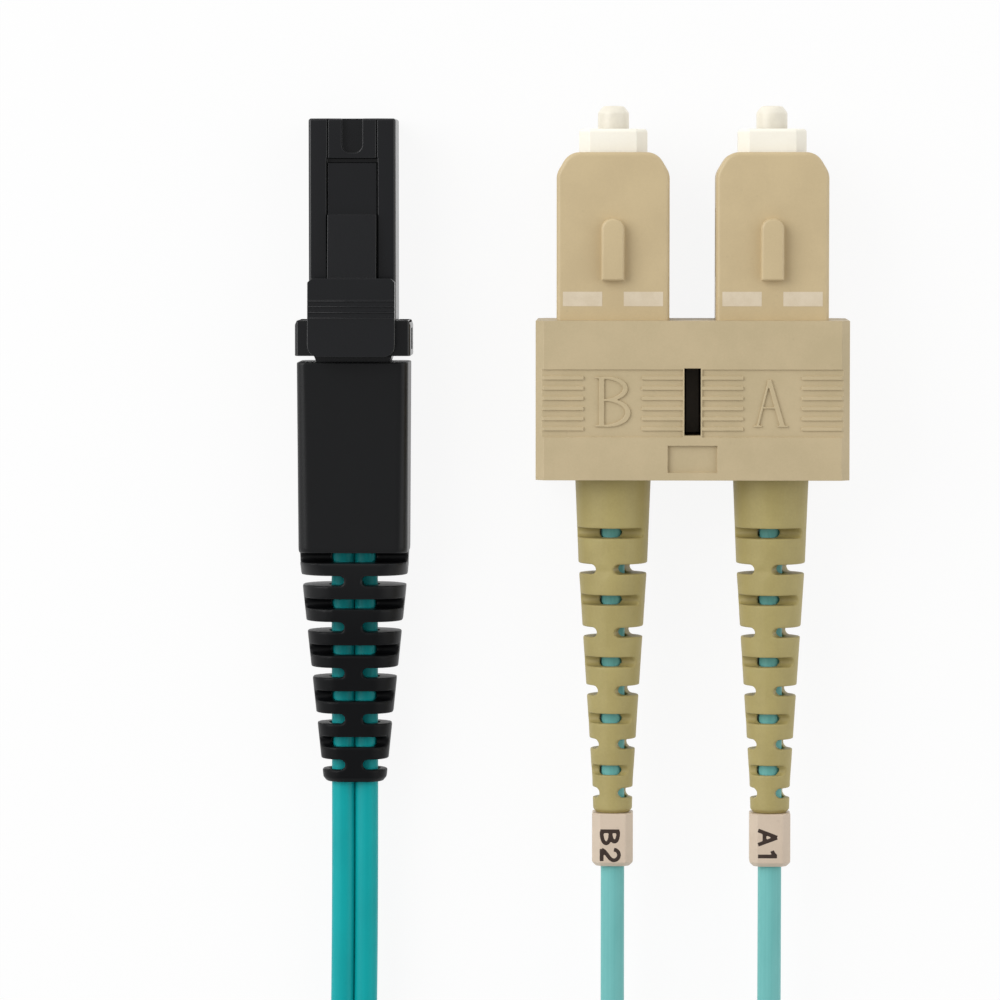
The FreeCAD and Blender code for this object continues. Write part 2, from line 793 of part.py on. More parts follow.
# Marker sleeve: a squarish tube with bevelled edges, pushed on the jacket behind the boot
def marker_sleeve(label):
    body = new_body(label)
    outline = new_sketch(body, "XY_Plane", "boot_length")
    half = "sleeve_width / 2"
    corner = "(sleeve_width / 2 - sleeve_bevel)"
    polygon(
        outline,
        (
            (half, f"-{corner}"),
            (half, corner),
            (corner, half),
            (f"-{corner}", half),
            (f"-{half}", corner),
            (f"-{half}", f"-{corner}"),
            (f"-{corner}", f"-{half}"),
            (corner, f"-{half}"),
        ),
    )
    pad(body, outline, "sleeve_length")
    back = number("sleeve_end")
    bevel_edges(body, "sleeve_end_bevel", lambda e, b: same(b.ZMin, back) and same(b.ZMax, back))
    bore = new_sketch(body, "XY_Plane", "boot_length")
    circle(bore, "0", "0", "jacket + close_fit")
    pocket(body, bore, backwards=True)
    return body


for tag, side in (("a", 1), ("b", -1)):
    spot = (f"clip_x + {side} * pair_pitch / 2", "clip_rear_y", "clip_half_height")
    keep(grip_housing(f"grip_housing_{tag}"), *spot)
    keep(seating_marks(f"seating_marks_{tag}"), *spot)
    keep(plug_frame(f"plug_frame_{tag}"), *spot)
    # Ferrule: a ceramic rod with a domed, bevelled tip, thinner from the frame's partition back
    rod = "ferrule_diameter / 2"
    ferrule = turned(
        f"ferrule_{tag}",
        (
            ("0", "-ferrule_end"),
            (f"{rod} - ferrule_step", "-ferrule_end"),
            (f"{rod} - ferrule_step", "-partition_front - ferrule_step_reach"),
            (rod, "-partition_front - ferrule_step_reach"),
            (rod, "-ferrule_tip + tip_bevel_length"),
            (f"{rod} - tip_bevel", "-ferrule_tip + tip_dome"),
            (f"{rod} - tip_flat_inset", "-ferrule_tip"),
            ("0", "-ferrule_tip"),
        ),
    )
    keep(ferrule, *spot)
    # Ferrule holder: a flanged collar behind the frame's partition, with a tail inside the spring
    holder = turned(
        f"ferrule_holder_{tag}",
        (
            (f"{rod} - ferrule_step + close_fit", "-partition_back"),
            ("holder_diameter / 2", "-partition_back"),
            ("holder_diameter / 2", "-holder_back"),
            ("holder_tail_diameter / 2", "-holder_back"),
            ("holder_tail_diameter / 2", "-holder_back + holder_tail"),
            ("fibre_diameter / 2 + fibre_room", "-holder_back + holder_tail"),
            ("fibre_diameter / 2 + fibre_room", "-ferrule_end"),
            (f"{rod} - ferrule_step + close_fit", "-ferrule_end"),
        ),
    )
    keep(holder, *spot)
    spring = coil_spring(
        f"ferrule_spring_{tag}",
        "holder_tail_diameter / 2 + spring_room",
        "-holder_back",
        "-stop_front",
        "spring_coils",
    )
    keep(spring, spot[0], f"{spot[1]} + holder_back - spring_gap - spring_wire / 2", spot[2])
    # Stop ring: closes the frame's rear bore, and its barrel takes the crimp
    stop = turned(
        f"stop_ring_{tag}",
        (
            ("fibre_diameter / 2 + fibre_room", "-stop_front"),
            ("holder_diameter / 2 + holder_room - close_fit", "-stop_front"),
            ("holder_diameter / 2 + holder_room - close_fit", "-frame_back"),
            ("frame_height / 2 - stop_inset", "-frame_back"),
            ("frame_height / 2 - stop_inset", "-stop_back"),
            ("crimp_barrel / 2", "-stop_back"),
            ("crimp_barrel / 2", "-barrel_end"),
            ("fibre_diameter / 2 + fibre_room", "-barrel_end"),
        ),
    )
    keep(stop, *spot)
    # Crimp sleeve: a stepped metal tube over the stop ring's barrel and the jacket's end
    crimp = turned(
        f"crimp_sleeve_{tag}",
        (
            ("crimp_barrel / 2 + close_fit", "-stop_back"),
            ("crimp_outer / 2", "-stop_back"),
            ("crimp_outer / 2", "-crimp_step"),
            ("jacket / 2 + crimp_wall", "crimp_step_end"),
            ("jacket / 2 + crimp_wall", "crimp_neck"),
            ("jacket / 2 + close_fit", "crimp_neck"),
            ("jacket / 2 + close_fit", "-crimp_step_end"),
            ("crimp_barrel / 2 + close_fit", "-crimp_step - crimp_step_end"),
        ),
    )
    keep(crimp, *spot)
    fibre = turned(
        f"buffered_fibre_{tag}",
        (
            ("0", "-holder_back + holder_tail - fibre_reach"),
            ("fibre_diameter / 2", "-holder_back + holder_tail - fibre_reach"),
            ("fibre_diameter / 2", "0"),
            ("0", "0"),
        ),
    )
    keep(fibre, *spot)
    keep(strain_boot(f"strain_boot_{tag}"), *spot, turn=number("boot_turn"))
    keep(marker_sleeve(f"marker_sleeve_{tag}"), *spot)
    root = turned(
        f"leg_root_{tag}",
        (("0", "0"), ("jacket / 2", "0"), ("jacket / 2", "sleeve_end"), ("0", "sleeve_end")),
    )
    keep(root, *spot)

middle = ("clip_x", "clip_rear_y", "clip_half_height")
keep(clip_half("clip_upper_half", True), *middle)
lower_half = clip_half("clip_lower_half", False)
keep(lower_half, *middle, turn=180)


# Latch plug housing: a square shell with a panelled nose, a channel for the lever and a stepped hollow
def latch_housing(label):
    body = new_body(label)
    shell = new_sketch(body, "XY_Plane")
    rectangle(shell, "-plug_width / 2", "plug_width / 2", "-plug_height / 2", "plug_height / 2")
    pad(body, shell, "plug_length")
    round_edges(body, "plug_round", along_z)
    round_edges(body, "plug_round", lambda e, b: same(b.ZMin, 0) and same(b.ZMax, 0))
    mouth = new_sketch(body, "XY_Plane")
    rectangle(
        mouth,
        "-core_width / 2 - core_gap",
        "core_width / 2 + core_gap",
        "-core_height / 2 - core_gap",
        "core_height / 2 + core_gap",
    )
    pocket(body, mouth, backwards=True)
    hollow = new_sketch(body, "XY_Plane", "plug_length")
    rectangle(hollow, "-cavity_width / 2", "cavity_width / 2", "-cavity_height / 2", "cavity_height / 2")
    pocket(body, hollow, "plug_length - core_shoulder")
    channel = new_sketch(body, "XZ_Plane", "-plug_height / 2")
    edge = "panel_width / 2 + channel_gap"
    rectangle(channel, f"-({edge})", edge, "channel_start", "plug_length + 1")
    pocket(body, channel, "channel_depth", backwards=True)
    panel = new_sketch(body, "XZ_Plane", "-plug_height / 2")
    for side in (-1, 1):
        line = f"{side} * panel_width / 2"
        rectangle(panel, f"{line} - panel_line / 2", f"{line} + panel_line / 2", "-1", "channel_start")
    pocket(body, panel, "panel_line", backwards=True)
    notch = new_sketch(body, "XZ_Plane", "-plug_height / 2")
    rectangle(notch, "-nose_slot_width / 2", "nose_slot_width / 2", "-1", "nose_slot_length")
    pocket(body, notch, "nose_slot_depth", backwards=True)
    inner = number("nose_slot_length")
    round_edges(
        body,
        "nose_slot_width * 0.4",
        lambda e, b: along_y(e, b) and same(b.ZMax, inner) and b.YMin > 0,
    )
    seat = new_sketch(body, "YZ_Plane")
    circle(seat, "bead_y", "bead_back", "bead_diameter + 2 * bead_gap")
    pocket(body, seat, "panel_width + 2 * channel_gap", both_ways=True)
    return body


# Latch lever: a low beam from the rounded root bead, a step, a rising arm and the wide thumb pad
def latch_lever(label):
    body = new_body(label)
    bead = new_sketch(body, "YZ_Plane")
    circle(bead, "bead_y", "bead_back", "bead_diameter")
    pad(body, bead, "panel_width", both_ways=True)
    arm = new_sketch(body, "YZ_Plane")
    face = "plug_height / 2"
    polygon(
        arm,
        (
            ("bead_y - bead_sink", "bead_back"),
            (f"{face} - beam_drop", "bead_back - beam_reach"),
            (f"{face} - beam_drop", "lever_step"),
            (f"{face} + arm_step", "lever_step"),
            (f"{face} + arm_rise", "pad_start"),
            (f"{face} + arm_rise + arm_lap_rise", "pad_start + arm_lap"),
            (f"{face} + arm_rise + arm_lap_rise - lever_thick", "pad_start + arm_lap"),
            (f"{face} + arm_rise - lever_thick", "pad_start"),
            (f"{face} - beam_drop - beam_thick", "lever_step"),
        ),
    )
    pad(body, arm, "panel_width", both_ways=True)
    plate = new_sketch(body, "YZ_Plane")
    polygon(
        plate,
        (
            (f"{face} + pad_front_rise", "pad_start"),
            (f"{face} + pad_rise", "pad_end"),
            (f"{face} + pad_rise - lever_thick", "pad_end"),
            (f"{face} + pad_front_rise - lever_thick", "pad_start"),
        ),
    )
    pad(body, plate, "plug_width", both_ways=True)
    wide, start, end = number("plug_width / 2"), number("pad_start"), number("pad_end")
    round_edges(
        body, "pad_corner", lambda e, b: same(abs(b.XMin), wide) and same(b.XLength, 0) and same(b.ZMin, end)
    )
    bevel_edges(
        body,
        "pad_front_bevel",
        lambda e, b: along_y(e, b) and same(abs(b.XMin), wide) and same(b.ZMin, start),
    )
    ridges = new_sketch(body, "YZ_Plane")
    slope = "((pad_rise - pad_front_rise) / (pad_end - pad_start))"
    for step in range(4):
        at = f"pad_ridge_first + {step} * pad_ridge_pitch"
        level = f"{face} + pad_front_rise + {slope} * ({at} - pad_start)"
        polygon(
            ridges,
            (
                (f"{level} - pad_ridge_root", f"{at} - pad_ridge / 2"),
                (f"{level} + pad_ridge_rise", f"{at} - pad_ridge / 4"),
                (f"{level} + pad_ridge_rise", f"{at} + pad_ridge / 4"),
                (f"{level} - pad_ridge_root", f"{at} + pad_ridge / 2"),
            ),
        )
    pad(body, ridges, "plug_width", both_ways=True)
    return body


# Two-fibre ferrule: a small block with a rear shoulder, two guide holes and a rear opening for the fibres
def latch_ferrule(label):
    body = new_body(label)
    block = new_sketch(body, "XY_Plane", "core_inset")
    rectangle(block, "-core_width / 2", "core_width / 2", "-core_height / 2", "core_height / 2")
    pad(body, block, "core_length")
    shoulder = new_sketch(body, "XY_Plane", "core_shoulder")
    out_x, out_y = "core_width / 2 + core_shoulder_out", "core_height / 2 + core_shoulder_up"
    rectangle(shoulder, f"-({out_x})", out_x, f"-({out_y})", out_y)
    pad(body, shoulder, "core_end - core_shoulder")
    holes = new_sketch(body, "XY_Plane", "core_inset")
    for side in (-1, 1):
        circle(holes, f"{side} * guide_pitch / 2", "0", "guide_hole")
    pocket(body, holes, backwards=True)
    rear = new_sketch(body, "XY_Plane", "core_end")
    room_y = "(core_room_rise + fibre_diameter / 4)"
    rectangle(rear, "-core_room_width / 2", "core_room_width / 2", f"-{room_y}", room_y)
    pocket(body, rear, "core_room_depth")
    return body


# Rear body: an insert in the housing, the flange with two wings, the neck and the round crimp stem
def latch_rear_body(label):
    body = new_body(label)
    flange = new_sketch(body, "XZ_Plane")
    half = "wing_width / 2"
    polygon(
        flange,
        (
            (f"-{half}", "pad_end"),
            (half, "pad_end"),
            (half, "plug_length + wing_bevel"),
            (f"{half} - wing_bevel / 2", "plug_length"),
            (f"-{half} + wing_bevel / 2", "plug_length"),
            (f"-{half}", "plug_length + wing_bevel"),
        ),
    )
    pad(body, flange, "wing_height", both_ways=True)
    wide = number("wing_width / 2")
    high = number("wing_height / 2")
    round_edges(
        body,
        "wing_round",
        lambda e, b: along_z(e, b) and same(abs(b.YMin), high) and same(abs(b.XMin), wide),
    )
    insert = new_sketch(body, "XY_Plane", "insert_front")
    rectangle(
        insert,
        "-cavity_width / 2 + close_fit",
        "cavity_width / 2 - close_fit",
        "-cavity_height / 2 + close_fit",
        "cavity_height / 2 - close_fit",
    )
    pad(body, insert, "insert_length + insert_root")
    neck = new_sketch(body, "XZ_Plane")
    polygon(
        neck,
        (
            ("-neck_width / 2", "pad_end - neck_root"),
            ("neck_width / 2", "pad_end - neck_root"),
            ("neck_width / 2 - neck_taper", "boot_front"),
            ("neck_width / 2 - neck_taper", "boot_front + neck_reach"),
            ("-neck_width / 2 + neck_taper", "boot_front + neck_reach"),
            ("-neck_width / 2 + neck_taper", "boot_front"),
        ),
    )
    pad(body, neck, "neck_height", both_ways=True)
    stem = new_sketch(body, "XY_Plane", "boot_front")
    circle(stem, "0", "0", "stem_diameter")
    pad(body, stem, "stem_length")
    window = new_sketch(body, "XY_Plane", "insert_front")
    rectangle(
        window,
        "-fibre_window_width / 2",
        "fibre_window_width / 2",
        "-fibre_window_height / 2",
        "fibre_window_height / 2",
    )
    pocket(body, window, backwards=True)
    hooks = new_sketch(body, "YZ_Plane", f"{half} - wing_window_depth")
    back_hooks = new_sketch(body, "YZ_Plane", f"-{half} + wing_window_depth")
    middle_z = "(plug_length + wing_bevel / 2 + pad_end) / 2"
    for sketch, way in ((hooks, True), (back_hooks, False)):
        rectangle(
            sketch,
            "-wing_window_height / 2",
            "wing_window_height / 2",
            f"{middle_z} - wing_window / 2",
            f"{middle_z} + wing_window / 2",
        )
        pocket(body, sketch, "2 * wing_window_depth", backwards=way)
    return body


# Ribbed boot: a smooth block that turns into a tapering tail cut by alternating slots
def latch_boot(label):
    body = new_body(label)
    stations = (
        ("boot_front", "block_width", "block_height", "block_round"),
        ("boot_front + block_waist_back", "block_waist", "block_waist_height", "block_waist_round"),
        ("boot_front + tail_back", "tail_width", "tail_height", "tail_round"),
        ("boot_back - tail_end_bevel", "tail_end_width", "tail_end_height", "tail_end_round"),
        (
            "boot_back",
            "tail_end_width - tail_end_width_inset",
            "tail_end_height - tail_end_height_inset",
            "tail_end_round - tail_end_round_inset",
        ),
    )
    outlines = []
    for back, width, height, bend in stations:
        outline = new_sketch(body, "XY_Plane", back)
        rounded_rectangle(outline, width, height, bend)
        outlines.append(outline)
    loft = body.newObject("PartDesign::AdditiveLoft", f"{label}_loft")
    loft.Profile = outlines[0]
    loft.Sections = outlines[1:]
    loft.Ruled = True
    doc.recompute()
    room = new_sketch(body, "XY_Plane", "boot_front")
    room_width = "neck_width - 2 * neck_taper + 2 * close_fit"
    rounded_rectangle(room, room_width, "neck_height + 2 * close_fit", "boot_hollow_round")
    pocket(body, room, "stem_length + boot_hollow_end", backwards=True)
    bore = new_sketch(body, "XY_Plane", "boot_front")
    rounded_rectangle(
        bore, "2 * zip_offset + jacket + 2 * bore_clearance", "jacket + 2 * bore_clearance", "jacket / 2"
    )
    pocket(body, bore, backwards=True)
    slots = new_sketch(body, "YZ_Plane")
    notches = new_sketch(body, "XZ_Plane")
    for step in range(5):
        for side in (-1, 1):
            level = f"boot_front + rib_slot_first + {step} * rib_slot_pitch"
            round_slot(slots, side, "rib_slot_floor", "block_width", level, "rib_slot_height")
            level = f"boot_front + rib_notch_first + {step} * rib_slot_pitch"
            round_slot(notches, side, "rib_web / 2", "block_width", level, "rib_slot_height")
    pocket(body, slots, "3 * block_width", both_ways=True)
    pocket(body, notches, "3 * block_width", both_ways=True)
    return body


latch_spot = ("latch_x", "latch_y", "latch_z")
keep(latch_housing("latch_plug_housing"), *latch_spot)
keep(latch_lever("latch_plug_lever"), *latch_spot)
keep(latch_ferrule("latch_plug_ferrule"), *latch_spot)
latch_spring = coil_spring(
    "latch_plug_spring",
    "cavity_height / 2 - latch_spring_room",
    "core_end",
    "insert_front",
    "latch_spring_coils",
)
keep(latch_spring, "latch_x", "latch_y - core_end - spring_gap - spring_wire / 2", "latch_z")
keep(latch_rear_body("latch_plug_rear_body"), *latch_spot)
crimp_ring = turned(
    "latch_plug_crimp_ring",
    (
        ("stem_diameter / 2 + close_fit", "boot_front + neck_reach"),
        ("stem_diameter / 2 + crimp_wall + close_fit", "boot_front + neck_reach"),
        ("stem_diameter / 2 + crimp_wall + close_fit", "stem_end - ring_setback"),
        ("stem_diameter / 2 + close_fit", "stem_end - ring_setback"),
    ),
)
keep(crimp_ring, *latch_spot)
keep(latch_boot("latch_plug_boot"), *latch_spot)

# The two buffered fibres run from the ferrule through the spring to the jacket's end
strands = []
for side in (-1, 1):
    strand = doc.addObject("Part::Cylinder", "latch_plug_strand")
    bind(strand, "Radius", "strand_diameter / 2")
    bind(strand, "Height", "stem_end + root_gap - core_end + strand_reach")
    bind(strand, "Placement.Base.x", f"{side} * fibre_spread / 2")
    bind(strand, "Placement.Base.z", "core_end - strand_reach")
    strands.append(strand)
fibres = doc.addObject("Part::Compound", "latch_plug_fibres")
fibres.Label = "latch_plug_fibres"
fibres.Links = strands
keep(fibres, *latch_spot)

zip_root = new_body("zip_root")
zip_section = new_sketch(zip_root, "XY_Plane", "stem_end + root_gap")
twin_outline(zip_section)
pad(zip_root, zip_section, "boot_back - stem_end - root_gap")
keep(zip_root, *latch_spot)


# Free cord: straight runs joined by tangent arcs
def cord_path(name, points):
    edges = []
    start = points[0]
    for before, corner, after in zip(points, points[1:], points[2:]):
        into, out = corner - before, after - corner
        half_turn = into.getAngle(out) / 2
        cut = 0.45 * min(into.Length, out.Length)
        into.normalize()
        out.normalize()
        radius = cut / math.tan(half_turn)
        print(f"{name}: bend radius {radius:.1f}")
        first, last = corner - into * cut, corner + out * cut
        inward = out - into
        inward.normalize()
        middle = corner + inward * (radius / math.cos(half_turn) - radius)
        edges.append(Part.LineSegment(start, first).toShape())
        edges.append(Part.Arc(first, middle, last).toShape())
        start = last
    edges.append(Part.LineSegment(start, points[-1]).toShape())
    return Part.Wire(edges)


def cord_solid(label, points, section):
    path = cord_path(label, points)
    heading = points[1] - points[0]
    across = heading.cross(Vector(0, 0, 1))
    across.normalize()
    profile = section(points[0], across, Vector(0, 0, 1))
    shell = Part.BRepOffsetAPI.MakePipeShell(path)
    shell.setBiNormalMode(Vector(0, 0, 1))
    shell.add(profile)
    shell.build()
    shell.makeSolid()
    cord = doc.addObject("Part::Feature", label)
    cord.Label = label
    cord.Shape = shell.shape()
    cord.Placement = Placement()
    area = Part.Face(profile).Area
    print(f"{label}: length {path.Length:.1f}, volume share {cord.Shape.Volume / (area * path.Length):.4f}")
    PIECES.append(cord)


def single_section(origin, across, up):
    return Part.Wire([Part.Circle(origin, across.cross(up), number("jacket / 2")).toShape()])


def twin_section(origin, across, up):
    radius, offset = number("jacket / 2"), number("zip_offset")
    waist = up * math.sqrt(radius**2 - offset**2)
    wide = across * (offset + radius)
    lobes = [Part.Arc(origin + waist, origin + wide * side, origin - waist).toShape() for side in (1, -1)]
    return Part.Wire(lobes)


latch_end = Vector(number("latch_x"), number("latch_y - boot_back"), number("latch_z"))
clip_x, sleeve_y, leg_z = number("clip_x"), number("clip_rear_y - sleeve_end"), number("clip_half_height")
flat = number("jacket / 2")
split_y, leave_y = -68.0, -94.2
lead_points = [latch_end, Vector(latch_end.x, -43.0, latch_end.z)]
lead_points += [Vector(-18.4, -62.0, 1.3), Vector(-20.4, -86.0, 1.6), Vector(-20.6, -104.0, 2.4)]
cord_solid("zip_lead", lead_points, twin_section)
tail_points = [Vector(22.8, leave_y, 6.0), Vector(14.9, -85.4, 2.6)]
tail_points += [Vector(clip_x, -77.4, flat), Vector(clip_x, split_y, flat)]
cord_solid("zip_tail", tail_points, twin_section)
for tag, side in (("a", 1), ("b", -1)):
    out = side * number("pair_pitch / 2")
    inner = side * number("jacket / 2 + leg_gap / 2")
    leg_points = [
        Vector(clip_x + inner, split_y, flat),
        Vector(clip_x + inner, -61.0, flat),
        Vector(clip_x + out - side * 1.1, -50.5, 2.6),
        Vector(clip_x + out, -40.5, leg_z),
        Vector(clip_x + out, sleeve_y, leg_z),
    ]
    cord_solid(f"leg_{tag}", leg_points, single_section)

# Coil: the outer shape of the turns that are put away, and the tie that holds them
coil_body = new_body("cord_coil")
ring = new_sketch(coil_body, "XZ_Plane")
low, high = "tie_wall", "tie_wall + coil_height"
polygon(
    ring,
    (
        ("coil_inner", f"{low} + coil_round"),
        ("coil_inner + coil_round", low),
        ("coil_outer - coil_round", low),
        ("coil_outer", f"{low} + coil_round"),
        ("coil_outer", f"{high} - coil_round"),
        ("coil_outer - coil_round", high),
        ("coil_inner + coil_round", high),
        ("coil_inner", f"{high} - coil_round"),
    ),
)
wind = coil_body.newObject("PartDesign::Revolution", "cord_coil_turn")
wind.Profile = ring
wind.ReferenceAxis = (ring, ["V_Axis"])
wind.Angle = 360
tie_body = new_body("coil_tie")
band = new_sketch(tie_body, "XZ_Plane")
for grow, cut in (("tie_wall", "coil_round"), ("0", "coil_round")):
    left, right = f"coil_inner - {grow}", f"coil_outer + {grow}"
    bottom, top = f"tie_wall - {grow}", f"tie_wall + coil_height + {grow}"
    polygon(
        band,
        (
            (left, f"{bottom} + {cut}"),
            (f"{left} + {cut}", bottom),
            (f"{right} - {cut}", bottom),
            (right, f"{bottom} + {cut}"),
            (right, f"{top} - {cut}"),
            (f"{right} - {cut}", top),
            (f"{left} + {cut}", top),
            (left, f"{top} - {cut}"),
        ),
    )
strap = tie_body.newObject("PartDesign::Revolution", "coil_tie_turn")
strap.Profile = band
strap.ReferenceAxis = (band, ["V_Axis"])
bind(strap, "Angle", "tie_width")
doc.recompute()
for piece, turn in ((coil_body, "0"), (tie_body, "tie_angle")):
    piece.Placement = Placement(Vector(), Rotation(Vector(0, 0, 1), number(turn)))
    bind(piece, "Placement.Base.x", "coil_x")
    bind(piece, "Placement.Base.y", "coil_y")
    PIECES.append(piece)

# Writing: every piece must be sound before its file is written
doc.recompute()
for thing in doc.Objects:
    if "Invalid" in thing.State or "Error" in thing.State:
        raise RuntimeError(f"{thing.Label} did not build")
os.makedirs("parts", exist_ok=True)
for piece in PIECES:
    shape = piece.Shape
    if shape.isNull() or not shape.isValid() or not shape.Solids:
        raise RuntimeError(f"{piece.Label} is not sound")
    shape.exportStep(f"parts/{piece.Label}.step")
    box = shape.optimalBoundingBox()
    spans = ((box.XMin, box.XMax), (box.YMin, box.YMax), (box.ZMin, box.ZMax))
    print(piece.Label, len(shape.Solids), " ".join(f"{low:.2f}..{high:.2f}" for low, high in spans))
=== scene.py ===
"""A duplex fibre patch cord: a black two-fibre latch plug at one end, a clipped pair of push-pull plugs at
the other, and the zip cord between them, put away in a coil."""

import bmesh
import bpy
import math
from mathutils import Matrix, Vector
from mathutils.geometry import interpolate_bezier


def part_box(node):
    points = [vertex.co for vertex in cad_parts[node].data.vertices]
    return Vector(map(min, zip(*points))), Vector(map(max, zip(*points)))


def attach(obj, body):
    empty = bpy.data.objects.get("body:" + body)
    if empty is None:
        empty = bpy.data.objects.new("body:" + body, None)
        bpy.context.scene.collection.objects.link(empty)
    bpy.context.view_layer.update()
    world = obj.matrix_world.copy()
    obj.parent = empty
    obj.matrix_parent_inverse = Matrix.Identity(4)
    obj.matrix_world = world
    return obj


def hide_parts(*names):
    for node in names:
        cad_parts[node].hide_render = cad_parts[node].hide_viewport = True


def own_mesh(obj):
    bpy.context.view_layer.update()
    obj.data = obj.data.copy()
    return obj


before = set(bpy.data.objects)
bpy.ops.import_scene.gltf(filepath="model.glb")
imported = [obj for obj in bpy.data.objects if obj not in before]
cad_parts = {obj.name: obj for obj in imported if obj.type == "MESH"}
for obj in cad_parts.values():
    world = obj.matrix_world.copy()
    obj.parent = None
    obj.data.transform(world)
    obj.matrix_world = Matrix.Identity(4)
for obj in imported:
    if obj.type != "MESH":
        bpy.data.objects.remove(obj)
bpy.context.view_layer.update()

# Zip cord: two round jackets of soft PVC, extruded side by side with a thin web between them, each round its
# own fibre. It leaves the latch plug flat, is put away in a tied coil, and is torn apart at the legs.
MM = 0.001
JACKET = 1.9 * MM
LOBE = 0.93 * MM
FULLNESS = 0.82
LEAD = (
    (-17.57, -24.04, 3.2),
    (-17.57, -43.0, 3.2),
    (-18.4, -62.0, 1.3),
    (-20.4, -86.0, 1.6),
    (-20.6, -104.0, 2.4),
)
TAIL = ((22.8, -94.2, 6.0), (14.9, -85.4, 2.6), (9.73, -77.4, 0.95), (9.73, -68.0, 0.95))
COIL_MIDDLE = (4.0, -110.0)
COIL_OUTER = 24.6
COIL_INNER = 18.3
COIL_START = 180
COIL_SWEEP = 2020
LOWER_SWEEP = 1190
CLIMB_SWEEP = 130
LOWER_HEIGHT = 2.4
UPPER_HEIGHT = 6.2
COIL_STEP = 20
ROUTE_STEPS = 10
CREASE = 40
LEAD_TURN = (36, 86)
TAIL_TURN = (38, 13)
ZIP_COLOUR = (5, 166, 168)
ZIP_SHADE = (3, 155, 158)


def smooth_step(value, start, end):
    """0 before start, 1 after end, and an even turn between them."""
    share = min(max((value - start) / (end - start), 0), 1)
    return share * share * (3 - 2 * share)


def coil_points():
    """The coil's control points: a lower layer that winds in, a climb, and an upper layer that winds out."""
    swell = 1 / math.cos(math.radians(COIL_STEP / 2))
    points = []
    for turned in range(COIL_STEP, COIL_SWEEP, COIL_STEP):
        if turned < LOWER_SWEEP:
            share = turned / LOWER_SWEEP
        else:
            share = (COIL_SWEEP - turned) / (COIL_SWEEP - LOWER_SWEEP)
        radius = swell * (COIL_OUTER + (COIL_INNER - COIL_OUTER) * share)
        climb = smooth_step(turned, LOWER_SWEEP - CLIMB_SWEEP, LOWER_SWEEP)
        angle = math.radians(COIL_START + turned)
        points.append(
            (
                COIL_MIDDLE[0] + radius * math.cos(angle),
                COIL_MIDDLE[1] + radius * math.sin(angle),
                LOWER_HEIGHT + (UPPER_HEIGHT - LOWER_HEIGHT) * climb,
            )
        )
    return points


def route(points):
    """The points along a smooth line whose control points are given in millimetres."""
    curve = bpy.data.curves.new("route", "CURVE")
    curve.dimensions = "3D"
    curve.resolution_u = ROUTE_STEPS
    spline = curve.splines.new("NURBS")
    spline.points.add(len(points) - 1)
    for point, place in zip(spline.points, points):
        point.co = (*(Vector(place) * MM), 1)
    spline.order_u = 3
    spline.use_endpoint_u = True
    line = bpy.data.objects.new("route", curve)
    bpy.context.scene.collection.objects.link(line)
    bare = bpy.data.meshes.new_from_object(line.evaluated_get(bpy.context.evaluated_depsgraph_get()))
    places = [vertex.co.copy() for vertex in bare.vertices]
    bpy.data.objects.remove(line)
    bpy.data.curves.remove(curve)
    bpy.data.meshes.remove(bare)
    return places


def length_of(path):
    return sum((end - start).length for start, end in zip(path, path[1:]))


def show(name, mesh):
    """A new object for a mesh that is already in its place."""
    shown = bpy.data.objects.new(name, mesh)
    bpy.context.scene.collection.objects.link(shown)
    return shown


def tube_faces(rings, count, first=0):
    """The faces of a tube whose corners come ring by ring, with both its ends closed."""
    faces = []
    for near_ring in range(first, first + (rings - 1) * count, count):
        for index in range(count):
            near = near_ring + index
            beside = near_ring + (index + 1) % count
            faces.append((near, beside, beside + count, near + count))
    faces.append(tuple(reversed(range(first, first + count))))
    faces.append(tuple(range(first + (rings - 1) * count, first + rings * count)))
    return faces


def outward(mesh):
    """Turns the faces of a closed mesh outwards."""
    shape = bmesh.new()
    shape.from_mesh(mesh)
    bmesh.ops.recalc_face_normals(shape, faces=shape.faces)
    shape.to_mesh(mesh)
    shape.free()


def swept(name, path, section, roll=None):
    """A tube with the section carried along the path. roll gives its turn in degrees at a length so far."""
    corners, lengths, along = [], [], 0.0
    for index, place in enumerate(path):
        before = path[max(index - 1, 0)]
        after = path[min(index + 1, len(path) - 1)]
        forward = (after - before).normalized()
        along += (place - before).length
        across = forward.cross(Vector((0, 0, 1))).normalized()
        turn = Matrix.Rotation(math.radians(roll(along) if roll else 0), 3, forward)
        side = turn @ across
        rise = turn @ across.cross(forward)
        corners += [place + side * a + rise * b for a, b in section]
        lengths.append(along)
    count = len(section)
    mesh = bpy.data.meshes.new(name)
    mesh.from_pydata(corners, [], tube_faces(len(path), count))
    layer = mesh.uv_layers.new(name="along").data
    for face in mesh.polygons:
        last = max(vertex % count for vertex in face.vertices) == count - 1
        for loop in face.loop_indices:
            vertex = mesh.loops[loop].vertex_index
            share = vertex % count
            if last and share == 0:
                share = count
            layer[loop].uv = (share / count, lengths[vertex // count] / MM)
    outward(mesh)
    mesh.shade_smooth()
    mesh.set_sharp_from_angle(angle=math.radians(CREASE))
    return show(name, mesh)


def round_section(radius, count=24):
    return [
        (radius * math.cos(2 * math.pi * index / count), radius * math.sin(2 * math.pi * index / count))
        for index in range(count)
    ]


def squared(share):
    """A cosine or sine drawn out a little, so that a circle made of it gets fuller corners."""
    return math.copysign(abs(share) ** FULLNESS, share)


def twin_section(count=17):
    """Two jackets side by side, a little flattened, as far as the thin web where they meet."""
    radius = JACKET / 2
    meet = math.acos((LOBE / radius) ** (1 / FULLNESS))
    section = []
    for side, start in ((1, -math.pi + meet), (-1, meet)):
        for index in range(count):
            angle = start + (2 * math.pi - 2 * meet) * index / count
            across = squared(math.cos(angle))
            section.append((side * LOBE + radius * across, radius * squared(math.sin(angle))))
    return section


